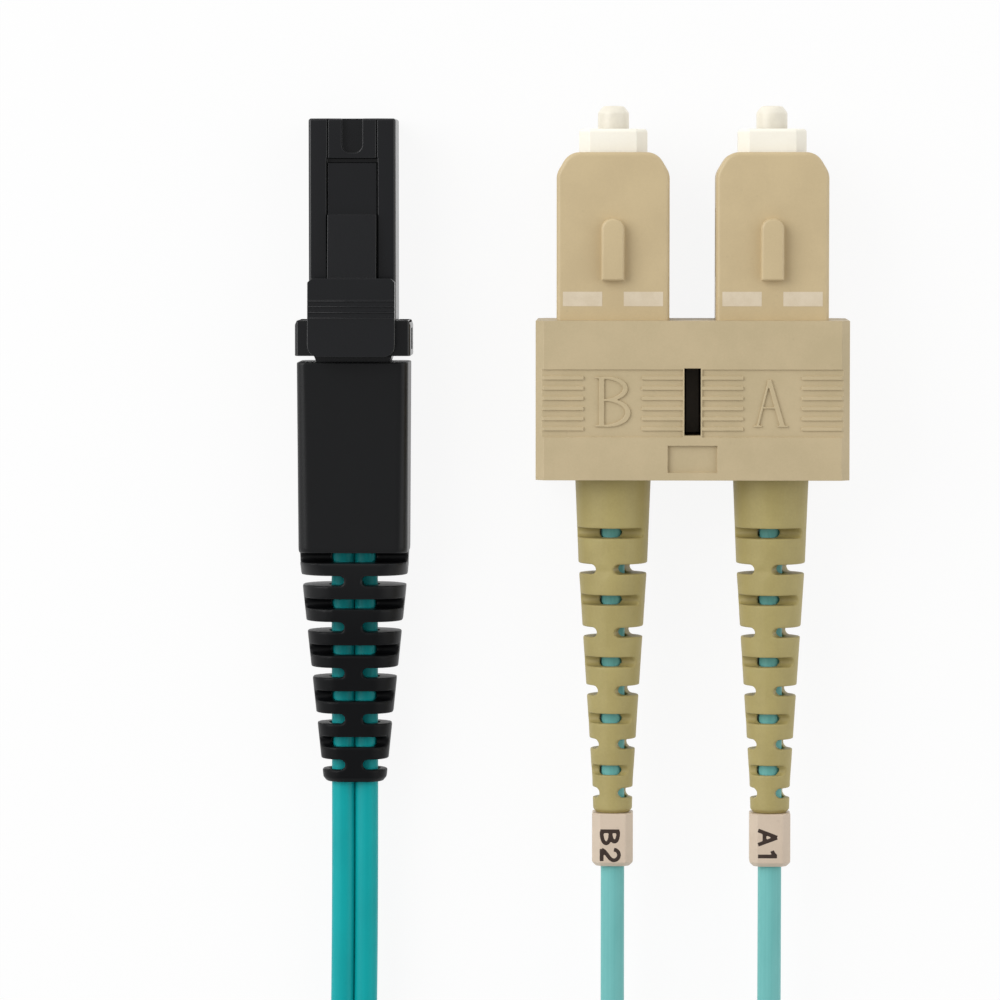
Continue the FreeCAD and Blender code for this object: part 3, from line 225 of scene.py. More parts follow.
def paint(red, green, blue):
    """A colour given as it looks on a screen, 0 to 255, in the linear values that shaders use."""
    shares = [part / 255 for part in (red, green, blue)]
    return (*[((s + 0.055) / 1.055) ** 2.4 if s > 0.04045 else s / 12.92 for s in shares], 1.0)


class Value:
    """An output in a node tree. Sums with it add Math nodes to the tree."""

    def __init__(self, nodes, socket):
        self.nodes = nodes
        self.socket = socket

    def __add__(self, other):
        return self.nodes.maths("ADD", self, other)

    def __radd__(self, other):
        return self.nodes.maths("ADD", other, self)

    def __sub__(self, other):
        return self.nodes.maths("SUBTRACT", self, other)

    def __rsub__(self, other):
        return self.nodes.maths("SUBTRACT", other, self)

    def __mul__(self, other):
        return self.nodes.maths("MULTIPLY", self, other)

    def __rmul__(self, other):
        return self.nodes.maths("MULTIPLY", other, self)


class Nodes:
    """A node tree that starts empty, and the one way to add nodes to it."""

    def __init__(self, tree):
        self.tree = tree
        self.tree.nodes.clear()

    def feed(self, node, socket, fed):
        """Puts a value or a constant in one of a node's sockets."""
        if isinstance(fed, Value):
            self.tree.links.new(fed.socket, node.inputs[socket])
        else:
            node.inputs[socket].default_value = fed

    def node(self, kind, inputs=None, **settings):
        """A new node with its settings, and with a value or a constant in each socket that is named."""
        made = self.tree.nodes.new(kind)
        for setting, choice in settings.items():
            setattr(made, setting, choice)
        for socket, fed in (inputs or {}).items():
            self.feed(made, socket, fed)
        return made

    def value(self, node, output=0):
        return Value(self, node.outputs[output])

    def maths(self, operation, *terms):
        return self.value(self.node("ShaderNodeMath", dict(enumerate(terms)), operation=operation))

    def axis(self, point, number):
        """One of the three parts of a point."""
        return self.value(self.node("ShaderNodeSeparateXYZ", {"Vector": point}), number)

    def between(self, value, low, high):
        """0 where the value is at low, 1 where it is at high."""
        fed = {"Value": value, "From Min": low, "From Max": high}
        return self.value(self.node("ShaderNodeMapRange", fed, interpolation_type="SMOOTHSTEP"))


class Finish(Nodes):
    """A material: one Principled shader and the nodes that vary what goes into it."""

    def __init__(self, name, **constants):
        self.material = bpy.data.materials.new(name)
        self.material.use_nodes = True
        super().__init__(self.material.node_tree)
        self.shader = self.node("ShaderNodeBsdfPrincipled")
        self.output = self.node("ShaderNodeOutputMaterial", {"Surface": self.value(self.shader)})
        for socket, constant in constants.items():
            self.set(socket.replace("_", " "), constant)

    def set(self, socket, fed):
        """Puts a value or a constant in one of the shader's own sockets."""
        self.feed(self.shader, socket, fed)

    def set_so_far(self, socket):
        """The value that feeds one of the shader's own sockets so far."""
        return Value(self, self.shader.inputs[socket].links[0].from_socket)

    def place(self, stretch=(1, 1, 1)):
        """The point on the piece in millimetres, stretched along the axes."""
        point = self.value(self.node("ShaderNodeTexCoord"), "Object")
        scale = tuple(part / MM for part in stretch)
        return self.value(self.node("ShaderNodeMapping", {"Vector": point, "Scale": scale}))

    def wrapped(self, around, along):
        """The point on a swept piece: its share of the way round and its length so far, both stretched."""
        point = self.value(self.node("ShaderNodeTexCoord"), "UV")
        return self.value(self.node("ShaderNodeMapping", {"Vector": point, "Scale": (around, along, 1)}))

    def noise(self, point, scale, detail=2.0, roughness=0.5):
        fed = {"Vector": point, "Scale": scale, "Detail": detail, "Roughness": roughness}
        return self.value(self.node("ShaderNodeTexNoise", fed))

    def mixed(self, first, second, share):
        fed = {0: share, 6: first, 7: second}
        return self.value(self.node("ShaderNodeMix", fed, data_type="RGBA"), 2)

    def bumped(self, height, depth, strength=1.0):
        fed = {"Height": height, "Distance": depth * MM, "Strength": strength}
        self.set("Normal", self.value(self.node("ShaderNodeBump", fed)))


def jacket_finish(name, colour, shade, fade=None):
    """Extruded PVC: faint lines along the cord from the die, and a soft sheen. fade gives a start and an end
    in millimetres along the cord, between which the given colour goes over into the zip cord's colour. The
    legs use it for their paler colour, which is painted light on the same jacket."""
    finish = Finish(name, IOR=1.5, Specular_IOR_Level=0.2, Coat_Roughness=0.3)
    die_lines = finish.noise(finish.wrapped(30, 0.03), 1.0, 3.0)
    clouds = finish.noise(finish.wrapped(3, 0.15), 1.0, 3.0)
    grain = finish.noise(finish.place(), 9.0, 2.0)
    tone = finish.between(die_lines * 0.45 + clouds * 0.55, 0.3, 0.7)
    jacket = finish.mixed(paint(*colour), paint(*shade), tone)
    # Painted light: the paler colour is the same jacket as though lit more brightly, and it goes over into
    # the zip cord's colour.
    if fade:
        along = finish.axis(finish.wrapped(1, 1), 1)
        zip_jacket = finish.mixed(paint(*ZIP_COLOUR), paint(*ZIP_SHADE), tone)
        jacket = finish.mixed(jacket, zip_jacket, finish.between(along, *fade))
    finish.set("Base Color", jacket)
    finish.set("Roughness", 0.36 + grain * 0.1 + clouds * 0.08)
    finish.set("Coat Weight", clouds * 0.08)
    finish.bumped(die_lines * 0.7 + grain * 0.3, 0.012)
    return finish


def dress(piece, finish, body, slot, *nodes):
    """Gives a piece its finish and body and hides the CAD nodes that it stands for. slot is not used."""
    piece.data.materials.clear()
    piece.data.materials.append(finish.material)
    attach(piece, body)
    if nodes:
        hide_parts(*nodes)
    return piece


def zip_roll(along):
    """Flat at both ends, on edge in the coil."""
    lead_turn = smooth_step(along / MM, *LEAD_TURN)
    tail_turn = smooth_step((zip_length - along) / MM, *TAIL_TURN)
    return 90 * (lead_turn - tail_turn)


zip_path = route([*LEAD, *coil_points(), *TAIL])
zip_length = length_of(zip_path)
zip_finish = jacket_finish("aqua_zip_jacket", ZIP_COLOUR, ZIP_SHADE)
zip_cord = swept("zip_cord", zip_path, twin_section(), zip_roll)
dress(zip_cord, zip_finish, "cord_and_frames", "aqua_jacket", "zip_lead", "cord_coil", "zip_tail")

# Zip cord's root: the straight end of the same zip cord inside the latch plug's boot, up to the crimp ring.
# It shows as aqua through the boot's slots.
ZIP_ROOT = 28.4
boot_end = Vector(LEAD[0])
root_path = [boot_end * MM, (boot_end + Vector((0, ZIP_ROOT, 0))) * MM]
zip_root = swept("zip_cord_root", root_path, twin_section())
dress(zip_root, zip_finish, "cord_and_frames", "aqua_jacket", "zip_root")

# Legs A and B: the two single jackets of the zip cord, torn apart and led into the marker sleeves.
# Their roots run on through the sleeves and strain boots to the crimp sleeves.
CLIP_MIDDLE = 9.73
LEG = (
    (0.97, -68.0, 0.95),
    (0.97, -62.5, 0.95),
    (4.9, -55.0, 1.9),
    (6.35, -46.5, 4.0),
    (6.35, -39.0, 4.9),
    (6.35, -30.61, 4.9),
)
LEG_ROOT = 31.4
# The legs and their roots are painted paler than the zip cord, as painted light: the same jacket shown lit
# more brightly. Along the legs it goes back to the zip cord's colour towards the split.
LEG_PAINTED_LIT_FADE = (13, 36)
LEG_PAINTED_LIT_COLOUR = (120, 191, 188)
LEG_PAINTED_LIT_SHADE = (108, 181, 178)
leg_finish = jacket_finish("aqua_leg_jacket", LEG_PAINTED_LIT_COLOUR, LEG_PAINTED_LIT_SHADE, LEG_PAINTED_LIT_FADE)
root_finish = jacket_finish("aqua_root_jacket", LEG_PAINTED_LIT_COLOUR, LEG_PAINTED_LIT_SHADE)
for letter, side in (("a", 1), ("b", -1)):
    leg_points = [(CLIP_MIDDLE + side * apart, back, height) for apart, back, height in LEG]
    leg_path = list(reversed(route(leg_points)))
    leg = swept(f"cord_leg_{letter}", leg_path, round_section(JACKET / 2))
    dress(leg, leg_finish, "cord_and_frames", "aqua_jacket", f"leg_{letter}")
    sleeve_end = Vector(leg_points[-1])
    root_path = [sleeve_end * MM, (sleeve_end + Vector((0, LEG_ROOT, 0))) * MM]
    root = swept(f"cord_leg_root_{letter}", root_path, round_section(JACKET / 2))
    dress(root, root_finish, "cord_and_frames", "aqua_jacket", f"leg_root_{letter}")

# Coil tie: a short hook-and-loop strap of woven nylon, wrapped once round the coil.
# Its end laps over its start and is pressed on.
STRAP_THICK = 0.45
STRAP_WIDE = 4.4
STRAP_SLACK = 0.06
STRAP_AT = 290
STRAP_LAP = 7.0
STRAP_LIFT = 0.1
STRAP_CORNER = 1.4
STRAP_EDGE = 0.1
STRAP_FOLD = 50
EDGE_STEPS = 2
CORNER_STEPS = 8
THREADS = 18.0
STRAP_COLOUR = (40, 42, 46)
STRAP_SHADE = (24, 25, 28)


def rounded_outline(half_wide, half_tall, corner):
    """The outline of a rounded rectangle round the origin, from the middle of its right side."""
    outline = []
    for start, sign_x, sign_y in ((0, 1, 1), (90, -1, 1), (180, -1, -1), (270, 1, -1)):
        for step in range(CORNER_STEPS + 1):
            angle = math.radians(start + 90 * step / CORNER_STEPS)
            outline.append(
                (
                    sign_x * (half_wide - corner) + corner * math.cos(angle),
                    sign_y * (half_tall - corner) + corner * math.sin(angle),
                )
            )
    return outline


def strap_finish():
    """Woven nylon with a short looped nap."""
    finish = Finish("strap_weave", IOR=1.5, Specular_IOR_Level=0.3, Sheen_Weight=0.25, Sheen_Roughness=0.5)
    point = finish.place()
    turned = finish.node("ShaderNodeMapping", {"Vector": point, "Rotation": (0, 0, math.radians(-STRAP_AT))})
    out, across, up = [finish.axis(finish.value(turned), number) for number in range(3)]
    warp = finish.maths("SINE", across * THREADS)
    weft = finish.maths("SINE", (out + up) * THREADS)
    fuzz = finish.noise(point, 7.0, 3.0, 0.7)
    weave = warp * weft * 0.5 + 0.5
    tone = finish.between(weave * 0.6 + fuzz * 0.4, 0.2, 0.8)
    finish.set("Base Color", finish.mixed(paint(*STRAP_SHADE), paint(*STRAP_COLOUR), tone))
    finish.set("Roughness", 0.8 + fuzz * 0.15)
    finish.bumped(weave * 0.6 + fuzz * 0.4, 0.08)
    return finish


low, high = (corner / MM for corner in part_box("coil_tie"))
strap_angle = math.radians(STRAP_AT)
strap_middle = Vector(((COIL_INNER + COIL_OUTER) / 2, 0, (low.z + high.z) / 2))
half_wide = (COIL_OUTER - COIL_INNER + JACKET / MM + STRAP_THICK) / 2 + STRAP_SLACK
half_tall = (high.z - low.z) / 2 - STRAP_THICK / 2
strap_line = rounded_outline(half_wide, half_tall, STRAP_CORNER)
wrapped = len(strap_line)
strap_line.append(strap_line[0])
lap = 0.0
for start, end in zip(strap_line, strap_line[1:]):
    if lap > STRAP_LAP:
        break
    lap += math.dist(start, end)
    strap_line.append(end)
turn = Matrix.Translation((*COIL_MIDDLE, 0)) @ Matrix.Rotation(strap_angle, 4, "Z")
strap_path = []
for index, (wide, tall) in enumerate(strap_line):
    lifted = 1 + STRAP_LIFT * smooth_step(index, wrapped - 2, wrapped + 2)
    strap_path.append(turn @ Vector((strap_middle.x + wide * lifted, 0, strap_middle.z + tall * lifted)) * MM)
strap_corners = []
sideways = turn.to_3x3() @ Vector((0, 1, 0))
for index, place in enumerate(strap_path):
    before = strap_path[max(index - 1, 0)]
    after = strap_path[min(index + 1, len(strap_path) - 1)]
    away = sideways.cross((after - before).normalized())
    for wide, thick in ((-1, -1), (-1, 1), (1, 1), (1, -1)):
        aside = sideways * wide * STRAP_WIDE / 2 + away * thick * STRAP_THICK / 2
        strap_corners.append(place + aside * MM)
strap_mesh = bpy.data.meshes.new("coil_strap")
strap_mesh.from_pydata(strap_corners, [], tube_faces(len(strap_path), 4))


def settled(piece, angle=None):
    """The piece with its modifiers made into its mesh, smooth up to an angle in degrees if one is given."""
    mesh = bpy.data.meshes.new_from_object(piece.evaluated_get(bpy.context.evaluated_depsgraph_get()))
    mesh.name = piece.name
    if angle:
        mesh.shade_smooth()
        mesh.set_sharp_from_angle(angle=math.radians(angle))
    piece.modifiers.clear()
    piece.data = mesh
    return piece


strap = show("coil_strap", strap_mesh)
soften = strap.modifiers.new("soften", "BEVEL")
soften.width = STRAP_EDGE * MM
soften.segments = EDGE_STEPS
soften.limit_method = "ANGLE"
soften.angle_limit = math.radians(STRAP_FOLD)
dress(settled(strap, CREASE), strap_finish(), "cord_and_frames", "tie_fabric", "coil_tie")

# Buffered fibres: each glass fibre in its white tight buffer, led from the crimp into the ferrule.
# They lie inside the plugs, where they are not seen.
BUFFER_COLOUR = (236, 236, 230)
BUFFER_SHADE = (222, 222, 216)


def moulded(name, colour, shade, rough, grain_size, grain_depth, clouds_size=4.0, **constants):
    """Moulded plastic or rubber: a fine tool texture, slow clouds of tone from the melt, and a few specks."""
    finish = Finish(name, **{"IOR": 1.5, **constants})
    point = finish.place()
    clouds = finish.noise(point, 1 / clouds_size, 4.0, 0.6)
    grain = finish.noise(point, 1 / grain_size, 2.0, 0.6)
    specks = finish.between(finish.noise(point, 1.7, 1.0), 0.74, 0.8)
    tone = finish.between(clouds * 0.75 + grain * 0.25, 0.32, 0.68)
    body = finish.mixed(paint(*colour), paint(*shade), tone)
    dark = paint(*[part * 0.86 for part in shade])
    finish.set("Base Color", finish.mixed(body, dark, specks * 0.15))
    finish.set("Roughness", rough - 0.06 + clouds * 0.07 + grain * 0.06)
    finish.bumped(grain + clouds * 0.4, grain_depth)
    return finish


def finish_node(node, finish):
    """Gives a CAD node that is shown as it is its finish."""
    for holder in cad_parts[node].material_slots:
        holder.material = finish.material


buffer_finish = moulded("fibre_buffer", BUFFER_COLOUR, BUFFER_SHADE, 0.4, 0.1, 0.004)
for node in ("latch_plug_fibres", "buffered_fibre_a", "buffered_fibre_b"):
    finish_node(node, buffer_finish)

# Latch plug's ferrule: the glass-filled resin block that holds both fibres, with its two guide holes.
# A spring behind it presses it forwards in the housing's nose.
RESIN_COLOUR = (58, 60, 58)
RESIN_SHADE = (46, 48, 47)
RESIN_EDGE = 0.06
WELD = 0.002


def merged_copy(node, name):
    """A copy of a CAD node with its loose triangles joined."""
    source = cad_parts[node].data
    mesh = bpy.data.meshes.new(name)
    mesh.from_pydata([v.co for v in source.vertices], [], [tuple(p.vertices) for p in source.polygons])
    shape = bmesh.new()
    shape.from_mesh(mesh)
    bmesh.ops.remove_doubles(shape, verts=shape.verts, dist=WELD * MM)
    shape.to_mesh(mesh)
    shape.free()
    return show(name, mesh)


def rounded_copy(node, name, edge, angle=30):
    """A copy of a CAD node with its hard edges rounded and its flat faces shaded flat."""
    piece = merged_copy(node, name)
    piece.data.shade_smooth()
    soft_edges = piece.modifiers.new("soft_edges", "BEVEL")
    soft_edges.width = edge * MM
    soft_edges.segments = EDGE_STEPS
    soft_edges.limit_method = "ANGLE"
    soft_edges.angle_limit = math.radians(angle)
    soft_edges.use_clamp_overlap = False
    soft_edges.loop_slide = False
    soft_edges.harden_normals = True
    return settled(piece)


resin_finish = moulded("ferrule_resin", RESIN_COLOUR, RESIN_SHADE, 0.4, 0.08, 0.004, 1.0)
latch_ferrule = rounded_copy("latch_plug_ferrule", "two_fibre_ferrule", RESIN_EDGE)
dress(latch_ferrule, resin_finish, "latch_ferrule_float", "ferrule_resin", "latch_plug_ferrule")

# Ferrule springs: steel wire wound open, one behind each ferrule, which they push forwards.
# Each has its wire's thickness, turns and travel here.
STEEL_COLOUR = (176, 176, 172)
STEEL_SHADE = (150, 150, 148)
SPRINGS = (
    ("latch_plug_spring", "latch_ferrule_press", 0.5, 7.0, 0.7),
    ("ferrule_spring_a", "ferrule_a_press", 0.45, 8.0, 1.0),
    ("ferrule_spring_b", "ferrule_b_press", 0.45, 8.0, 1.0),
)
TURN_STEPS = 36
WIRE_STEPS = 10
WIRE_CREASE = 50


def metal(name, colour, shade, rough, stretch):
    """Bare metal with fine lines from its making along one axis."""
    finish = Finish(name, Metallic=1.0)
    lines = finish.noise(finish.place(stretch), 1.0, 4.0, 0.65)
    smudge = finish.noise(finish.place(), 0.6, 3.0)
    tone = finish.between(lines * 0.6 + smudge * 0.4, 0.3, 0.7)
    finish.set("Base Color", finish.mixed(paint(*colour), paint(*shade), tone))
    finish.set("Roughness", rough + lines * 0.1 + smudge * 0.08)
    finish.bumped(lines, 0.004)
    return finish


def spring_tree():
    """Geometry Nodes that wind a wire into a compression spring along +Z, from its named sizes."""
    tree = bpy.data.node_groups.new("wire_spring", "GeometryNodeTree")
    tree.interface.new_socket("Geometry", in_out="OUTPUT", socket_type="NodeSocketGeometry")
    for name in ("Radius", "Wire", "Turns", "Height"):
        tree.interface.new_socket(name, in_out="INPUT", socket_type="NodeSocketFloat")
    tree.interface.new_socket("Finish", in_out="INPUT", socket_type="NodeSocketMaterial")

    def node(kind, links, **constants):
        made = tree.nodes.new(kind)
        for socket, constant in constants.items():
            made.inputs[socket.replace("_", " ")].default_value = constant
        for socket, output in links.items():
            tree.links.new(output, made.inputs[socket])
        return made

    sizes = tree.nodes.new("NodeGroupInput").outputs
    helix_links = {
        "Start Radius": sizes["Radius"],
        "End Radius": sizes["Radius"],
        "Rotations": sizes["Turns"],
        "Height": sizes["Height"],
    }
    helix = node("GeometryNodeCurveSpiral", helix_links, Resolution=TURN_STEPS)
    wire = node("GeometryNodeCurvePrimitiveCircle", {"Radius": sizes["Wire"]}, Resolution=WIRE_STEPS)
    tube_links = {"Curve": helix.outputs["Curve"], "Profile Curve": wire.outputs["Curve"]}
    tube = node("GeometryNodeCurveToMesh", tube_links, Fill_Caps=True)
    whole = node("GeometryNodeRealizeInstances", {"Geometry": tube.outputs["Mesh"]})
    finish_links = {"Geometry": whole.outputs["Geometry"], "Material": sizes["Finish"]}
    finished = node("GeometryNodeSetMaterial", finish_links)
    node("NodeGroupOutput", {"Geometry": finished.outputs["Geometry"]})
    return tree


def grown(name, tree, **sizes):
    """A plain mesh piece made by a Geometry Nodes tree from its named sizes."""
    piece = show(name, bpy.data.meshes.new(name))
    maker = piece.modifiers.new("maker", "NODES")
    maker.node_group = tree
    for item in tree.interface.items_tree:
        if item.in_out == "INPUT":
            maker[item.identifier] = sizes[item.name]
    return settled(piece, WIRE_CREASE)


spring_finish = metal("spring_wire", STEEL_COLOUR, STEEL_SHADE, 0.22, (6, 6, 6))
winding = spring_tree()
for node, joint, wire, turns, travel in SPRINGS:
    low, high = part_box(node)
    middle = (low + high) / 2
    wire_radius = wire / 2 * MM
    coil_radius = min(high.x - low.x, high.z - low.z) / 2 - wire_radius
    spring_length = high.y - low.y
    spring = grown(
        f"wound_{node}",
        winding,
        Radius=coil_radius,
        Wire=wire_radius,
        Turns=turns,
        Height=spring_length - 2 * wire_radius,
        Finish=spring_finish.material,
    )
    back_end = Vector((middle.x, low.y, middle.z))
    laid = Matrix.Rotation(math.radians(-90), 4, "X")
    spring.data.transform(Matrix.Translation(back_end + Vector((0, wire_radius, 0))) @ laid)
    dress(spring, spring_finish, "cord_and_frames", "spring_steel", node)
    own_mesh(spring)

# Latch plug's rear body: moulded with the two flange wings that the thumb and finger hold, and the stem that
# the cord's yarn is crimped on. It snaps into the housing.
BLACK_COLOUR = (17, 18, 21)
BLACK_SHADE = (13, 14, 17)
BLACK_EDGE = 0.06
WING_ANGLE = 20
black_plastic = moulded("black_plastic", BLACK_COLOUR, BLACK_SHADE, 0.24, 0.12, 0.002, Specular_IOR_Level=0.5)
rear_body = rounded_copy("latch_plug_rear_body", "rear_body", BLACK_EDGE, WING_ANGLE)
dress(rear_body, black_plastic, "cord_and_frames", "black_plastic", "latch_plug_rear_body")

# Crimp ring and crimp sleeves: drawn tubes of nickelled brass, squeezed over the stems with the yarn below.
# The stop rings that hold the springs in the plug frames are turned from the same brass.
NICKEL_COLOUR = (205, 198, 186)
NICKEL_SHADE = (186, 178, 165)
nickel = metal("nickelled_brass", NICKEL_COLOUR, NICKEL_SHADE, 0.2, (0.4, 9, 0.4))
for node in ("latch_plug_crimp_ring", "crimp_sleeve_a", "crimp_sleeve_b", "stop_ring_a", "stop_ring_b"):
    finish_node(node, nickel)

# Latch plug's housing: a glossy black shell with the nose panel, the channel under the lever and a window for
# the ferrule. It is moulded in one piece.
housing = rounded_copy("latch_plug_housing", "latch_housing", BLACK_EDGE)
dress(housing, black_plastic, "cord_and_frames", "black_plastic", "latch_plug_housing")

# Latch lever: the sprung arm over the channel, of the same black plastic. It has a raised thumb pad with four
# fine ridges across it, and goes down when the pad is pressed.
LEVER_EDGE = 0.05
lever = rounded_copy("latch_plug_lever", "thumb_lever", LEVER_EDGE)
dress(lever, black_plastic, "latch_lever", "black_plastic", "latch_plug_lever")

# Latch plug's boot: black rubber, a plain block that goes over into a ribbed tail, pushed over the crimp
# ring. The block comes polished from its mould, and the tail matt.
RUBBER_COLOUR = (12, 13, 15)
RUBBER_SHADE = (9, 10, 12)
RUBBER_SHINE = {"Specular_IOR_Level": 0.15, "Coat_Roughness": 0.4}
RUBBER_GRID = 0.11
RUBBER_ROUNDS = 2
KEPT_SHARE = 0.45
WORN_CREASE = 80
MATT_TAIL = (-13.0, -4.5)
BLOCK_SHEEN = 0.32


def wear(piece, grid, rounds):
    """Has a piece made again from even small faces, with its edges worn round."""
    even = piece.modifiers.new("even", "REMESH")
    even.mode = "VOXEL"
    even.voxel_size = grid
    worn = piece.modifiers.new("worn", "SMOOTH")
    worn.iterations = rounds


def soft_copy(node, name, grid, rounds):
    """A copy of a CAD node with its edges worn round as moulded rubber's are."""
    piece = merged_copy(node, name)
    piece.data.transform(Matrix.Scale(1 / MM, 4))
    wear(piece, grid, rounds)
    thinned = piece.modifiers.new("thinned", "DECIMATE")
    thinned.ratio = KEPT_SHARE
    settled(piece, WORN_CREASE)
    piece.data.transform(Matrix.Scale(MM, 4))
    return piece


black_rubber = moulded("black_rubber", RUBBER_COLOUR, RUBBER_SHADE, 0.4, 0.16, 0.004, **RUBBER_SHINE)
polished = black_rubber.between(black_rubber.axis(black_rubber.place(), 1), *MATT_TAIL)
black_rubber.set("Coat Weight", polished * BLOCK_SHEEN)
latch_boot = soft_copy("latch_plug_boot", "latch_boot", RUBBER_GRID, RUBBER_ROUNDS)
dress(latch_boot, black_rubber, "cord_and_frames", "black_rubber", "latch_plug_boot")

# Ferrules of the push-pull plugs: ground zirconia rods with a domed tip, pressed into nickelled holders.
# They stand out of the frames and give way on their springs.
CERAMIC_COLOUR = (242, 236, 220)
CERAMIC_SHADE = (235, 229, 213)
CERAMIC_GRID = 0.07
CERAMIC_ROUNDS = 8
ceramic = moulded("zirconia", CERAMIC_COLOUR, CERAMIC_SHADE, 0.35, 0.5, 0.001, 2.0, Specular_IOR_Level=0.6)
for letter in ("a", "b"):
    ferrule = soft_copy(f"ferrule_{letter}", f"ceramic_ferrule_{letter}", CERAMIC_GRID, CERAMIC_ROUNDS)
    dress(ferrule, ceramic, f"ferrule_{letter}_float", "ceramic_white", f"ferrule_{letter}")
    finish_node(f"ferrule_holder_{letter}", nickel)

# Plug frames: the cream inner bodies of the push-pull plugs, bevelled along their long edges.
# Each holds a ferrule, its spring and its stop ring.
CREAM_COLOUR = (255, 251, 238)
CREAM_SHADE = (250, 245, 231)
CREAM_EDGE = 0.06
cream = moulded("cream_plastic", CREAM_COLOUR, CREAM_SHADE, 0.38, 0.14, 0.003)
for letter in ("a", "b"):
    plug_frame = rounded_copy(f"plug_frame_{letter}", f"inner_frame_{letter}", CREAM_EDGE)
    dress(plug_frame, cream, "cord_and_frames", "cream_plastic", f"plug_frame_{letter}")

# Grip housings: the beige outer shells that slide back over the frames to let go, each with its key on top.
# The two pale seating marks are printed on.
BEIGE_COLOUR = (204, 184, 144)
BEIGE_SHADE = (197, 177, 138)
BEIGE_EDGE = 0.04
MARK_COLOUR = (222, 208, 184)
MARK_SHADE = (214, 199, 173)
MARK_WIDE = 3.05 * MM
MARK_EDGE = 0.04 * MM
MARK_THICK = 0.012 * MM
beige = moulded("beige_plastic", BEIGE_COLOUR, BEIGE_SHADE, 0.42, 0.14, 0.004)
mark_finish = moulded("mark_print", MARK_COLOUR, MARK_SHADE, 0.5, 0.1, 0.003, 1.0)
for letter in ("a", "b"):
    grip = rounded_copy(f"grip_housing_{letter}", f"grip_shell_{letter}", BEIGE_EDGE)
    dress(grip, beige, "duplex_grip", "beige_plastic", f"grip_housing_{letter}")
    low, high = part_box(f"seating_marks_{letter}")
    corners, faces = [], []
    for left, right in ((low.x, low.x + MARK_WIDE), (high.x - MARK_WIDE, high.x)):
        first = len(corners)
        for height in (low.z, high.z + MARK_THICK):
            for x, y in ((left, low.y), (right, low.y), (right, high.y), (left, high.y)):
                edge_x = math.copysign(MARK_EDGE, x - (left + right) / 2)
                edge_y = math.copysign(MARK_EDGE, y - (low.y + high.y) / 2)
                corners.append((x + edge_x, y + edge_y, height))
        sides = [(n, (n + 1) % 4, (n + 1) % 4 + 4, n + 4) for n in range(4)]
        faces += [[first + n for n in face] for face in ((3, 2, 1, 0), (4, 5, 6, 7), *sides)]
    mark_mesh = bpy.data.meshes.new(f"seating_print_{letter}")
    mark_mesh.from_pydata(corners, [], faces)
    marks = show(f"seating_print_{letter}", mark_mesh)
    dress(marks, mark_finish, "duplex_grip", "mark_white", f"seating_marks_{letter}")

# Duplex clip: two moulded halves that snap together round both grips and hold them side by side.
# The ridges are for the fingers.
CLIP_COLOUR = (196, 178, 142)
CLIP_SHADE = (188, 171, 135)
CLIP_EDGE = 0.03
# Painted shade: inside the slot of the upper half, deeper than its mouth, the clip's colour goes over into a
# dark brown. It stands in for the shade where little light gets in. The first colour below is that painted
# shade, and the sizes after it bound it.
SLOT_PAINTED_SHADE = (80, 70, 56)
SLOT_MIDDLE = 7.0
SLOT_ACROSS = (1.1, 0.9)
SLOT_ALONG = (4.0, 3.6)
SLOT_DEEP = (9.3, 8.2)
clip_finish = moulded("clip_plastic", CLIP_COLOUR, CLIP_SHADE, 0.46, 0.16, 0.005)
across, along, height = [clip_finish.axis(clip_finish.place(), number) for number in range(3)]
off_middle = clip_finish.maths("ABSOLUTE", across - CLIP_MIDDLE)
off_slot = clip_finish.maths("ABSOLUTE", along - SLOT_MIDDLE)
in_slot = clip_finish.between(off_middle, *SLOT_ACROSS) * clip_finish.between(off_slot, *SLOT_ALONG)
# The painted shade's mask: the slot's outline, from 9.3 mm high down to 8.2 mm.
slot_painted_shade = in_slot * clip_finish.between(height, *SLOT_DEEP)
plain_clip = clip_finish.set_so_far("Base Color")
clip_finish.set("Base Color", clip_finish.mixed(plain_clip, paint(*SLOT_PAINTED_SHADE), slot_painted_shade))
LETTER_BASE = 5.05
LETTER_LOW = 9.6
LETTER_HIGH = 9.81
LETTER_GRID = 0.04
LETTER_ROUNDS = 2
STROKE_STEPS = 16
SERIF_B = (
    ((-0.88, 0.08), (-0.88, 1.4), (-0.88, 2.6), (-0.88, 3.92), (0.2, 0.2, 0.2)),
    ((-1.4, 3.92), (-1.2, 3.92), (-0.8, 3.92), (-0.5, 3.92), (0.07, 0.07, 0.07)),
    ((-1.4, 0.08), (-1.2, 0.08), (-0.8, 0.08), (-0.5, 0.08), (0.07, 0.07, 0.07)),
    ((-0.88, 3.92), (1.6, 3.98), (1.6, 2.2), (-0.7, 2.14), (0.07, 0.32, 0.06)),
    ((-0.7, 2.14), (1.9, 2.2), (1.85, 0.0), (-0.88, 0.08), (0.06, 0.34, 0.07)),
)
SERIF_A = (
    ((-1.04, 0.06), (-0.75, 1.3), (-0.45, 2.5), (-0.14, 3.75), (0.08, 0.08, 0.08)),
    ((0.92, 0.06), (0.57, 1.3), (0.21, 2.5), (-0.14, 3.75), (0.19, 0.19, 0.17)),
    ((-0.72, 1.53), (-0.4, 1.53), (0.1, 1.53), (0.42, 1.53), (0.06, 0.06, 0.06)),
    ((-1.38, 0.06), (-1.2, 0.06), (-0.9, 0.06), (-0.7, 0.06), (0.06, 0.06, 0.06)),
    ((0.5, 0.06), (0.7, 0.06), (1.1, 0.06), (1.38, 0.06), (0.06, 0.06, 0.06)),
)
LETTERS = (("a", SERIF_A, 15.95), ("b", SERIF_B, 3.38))


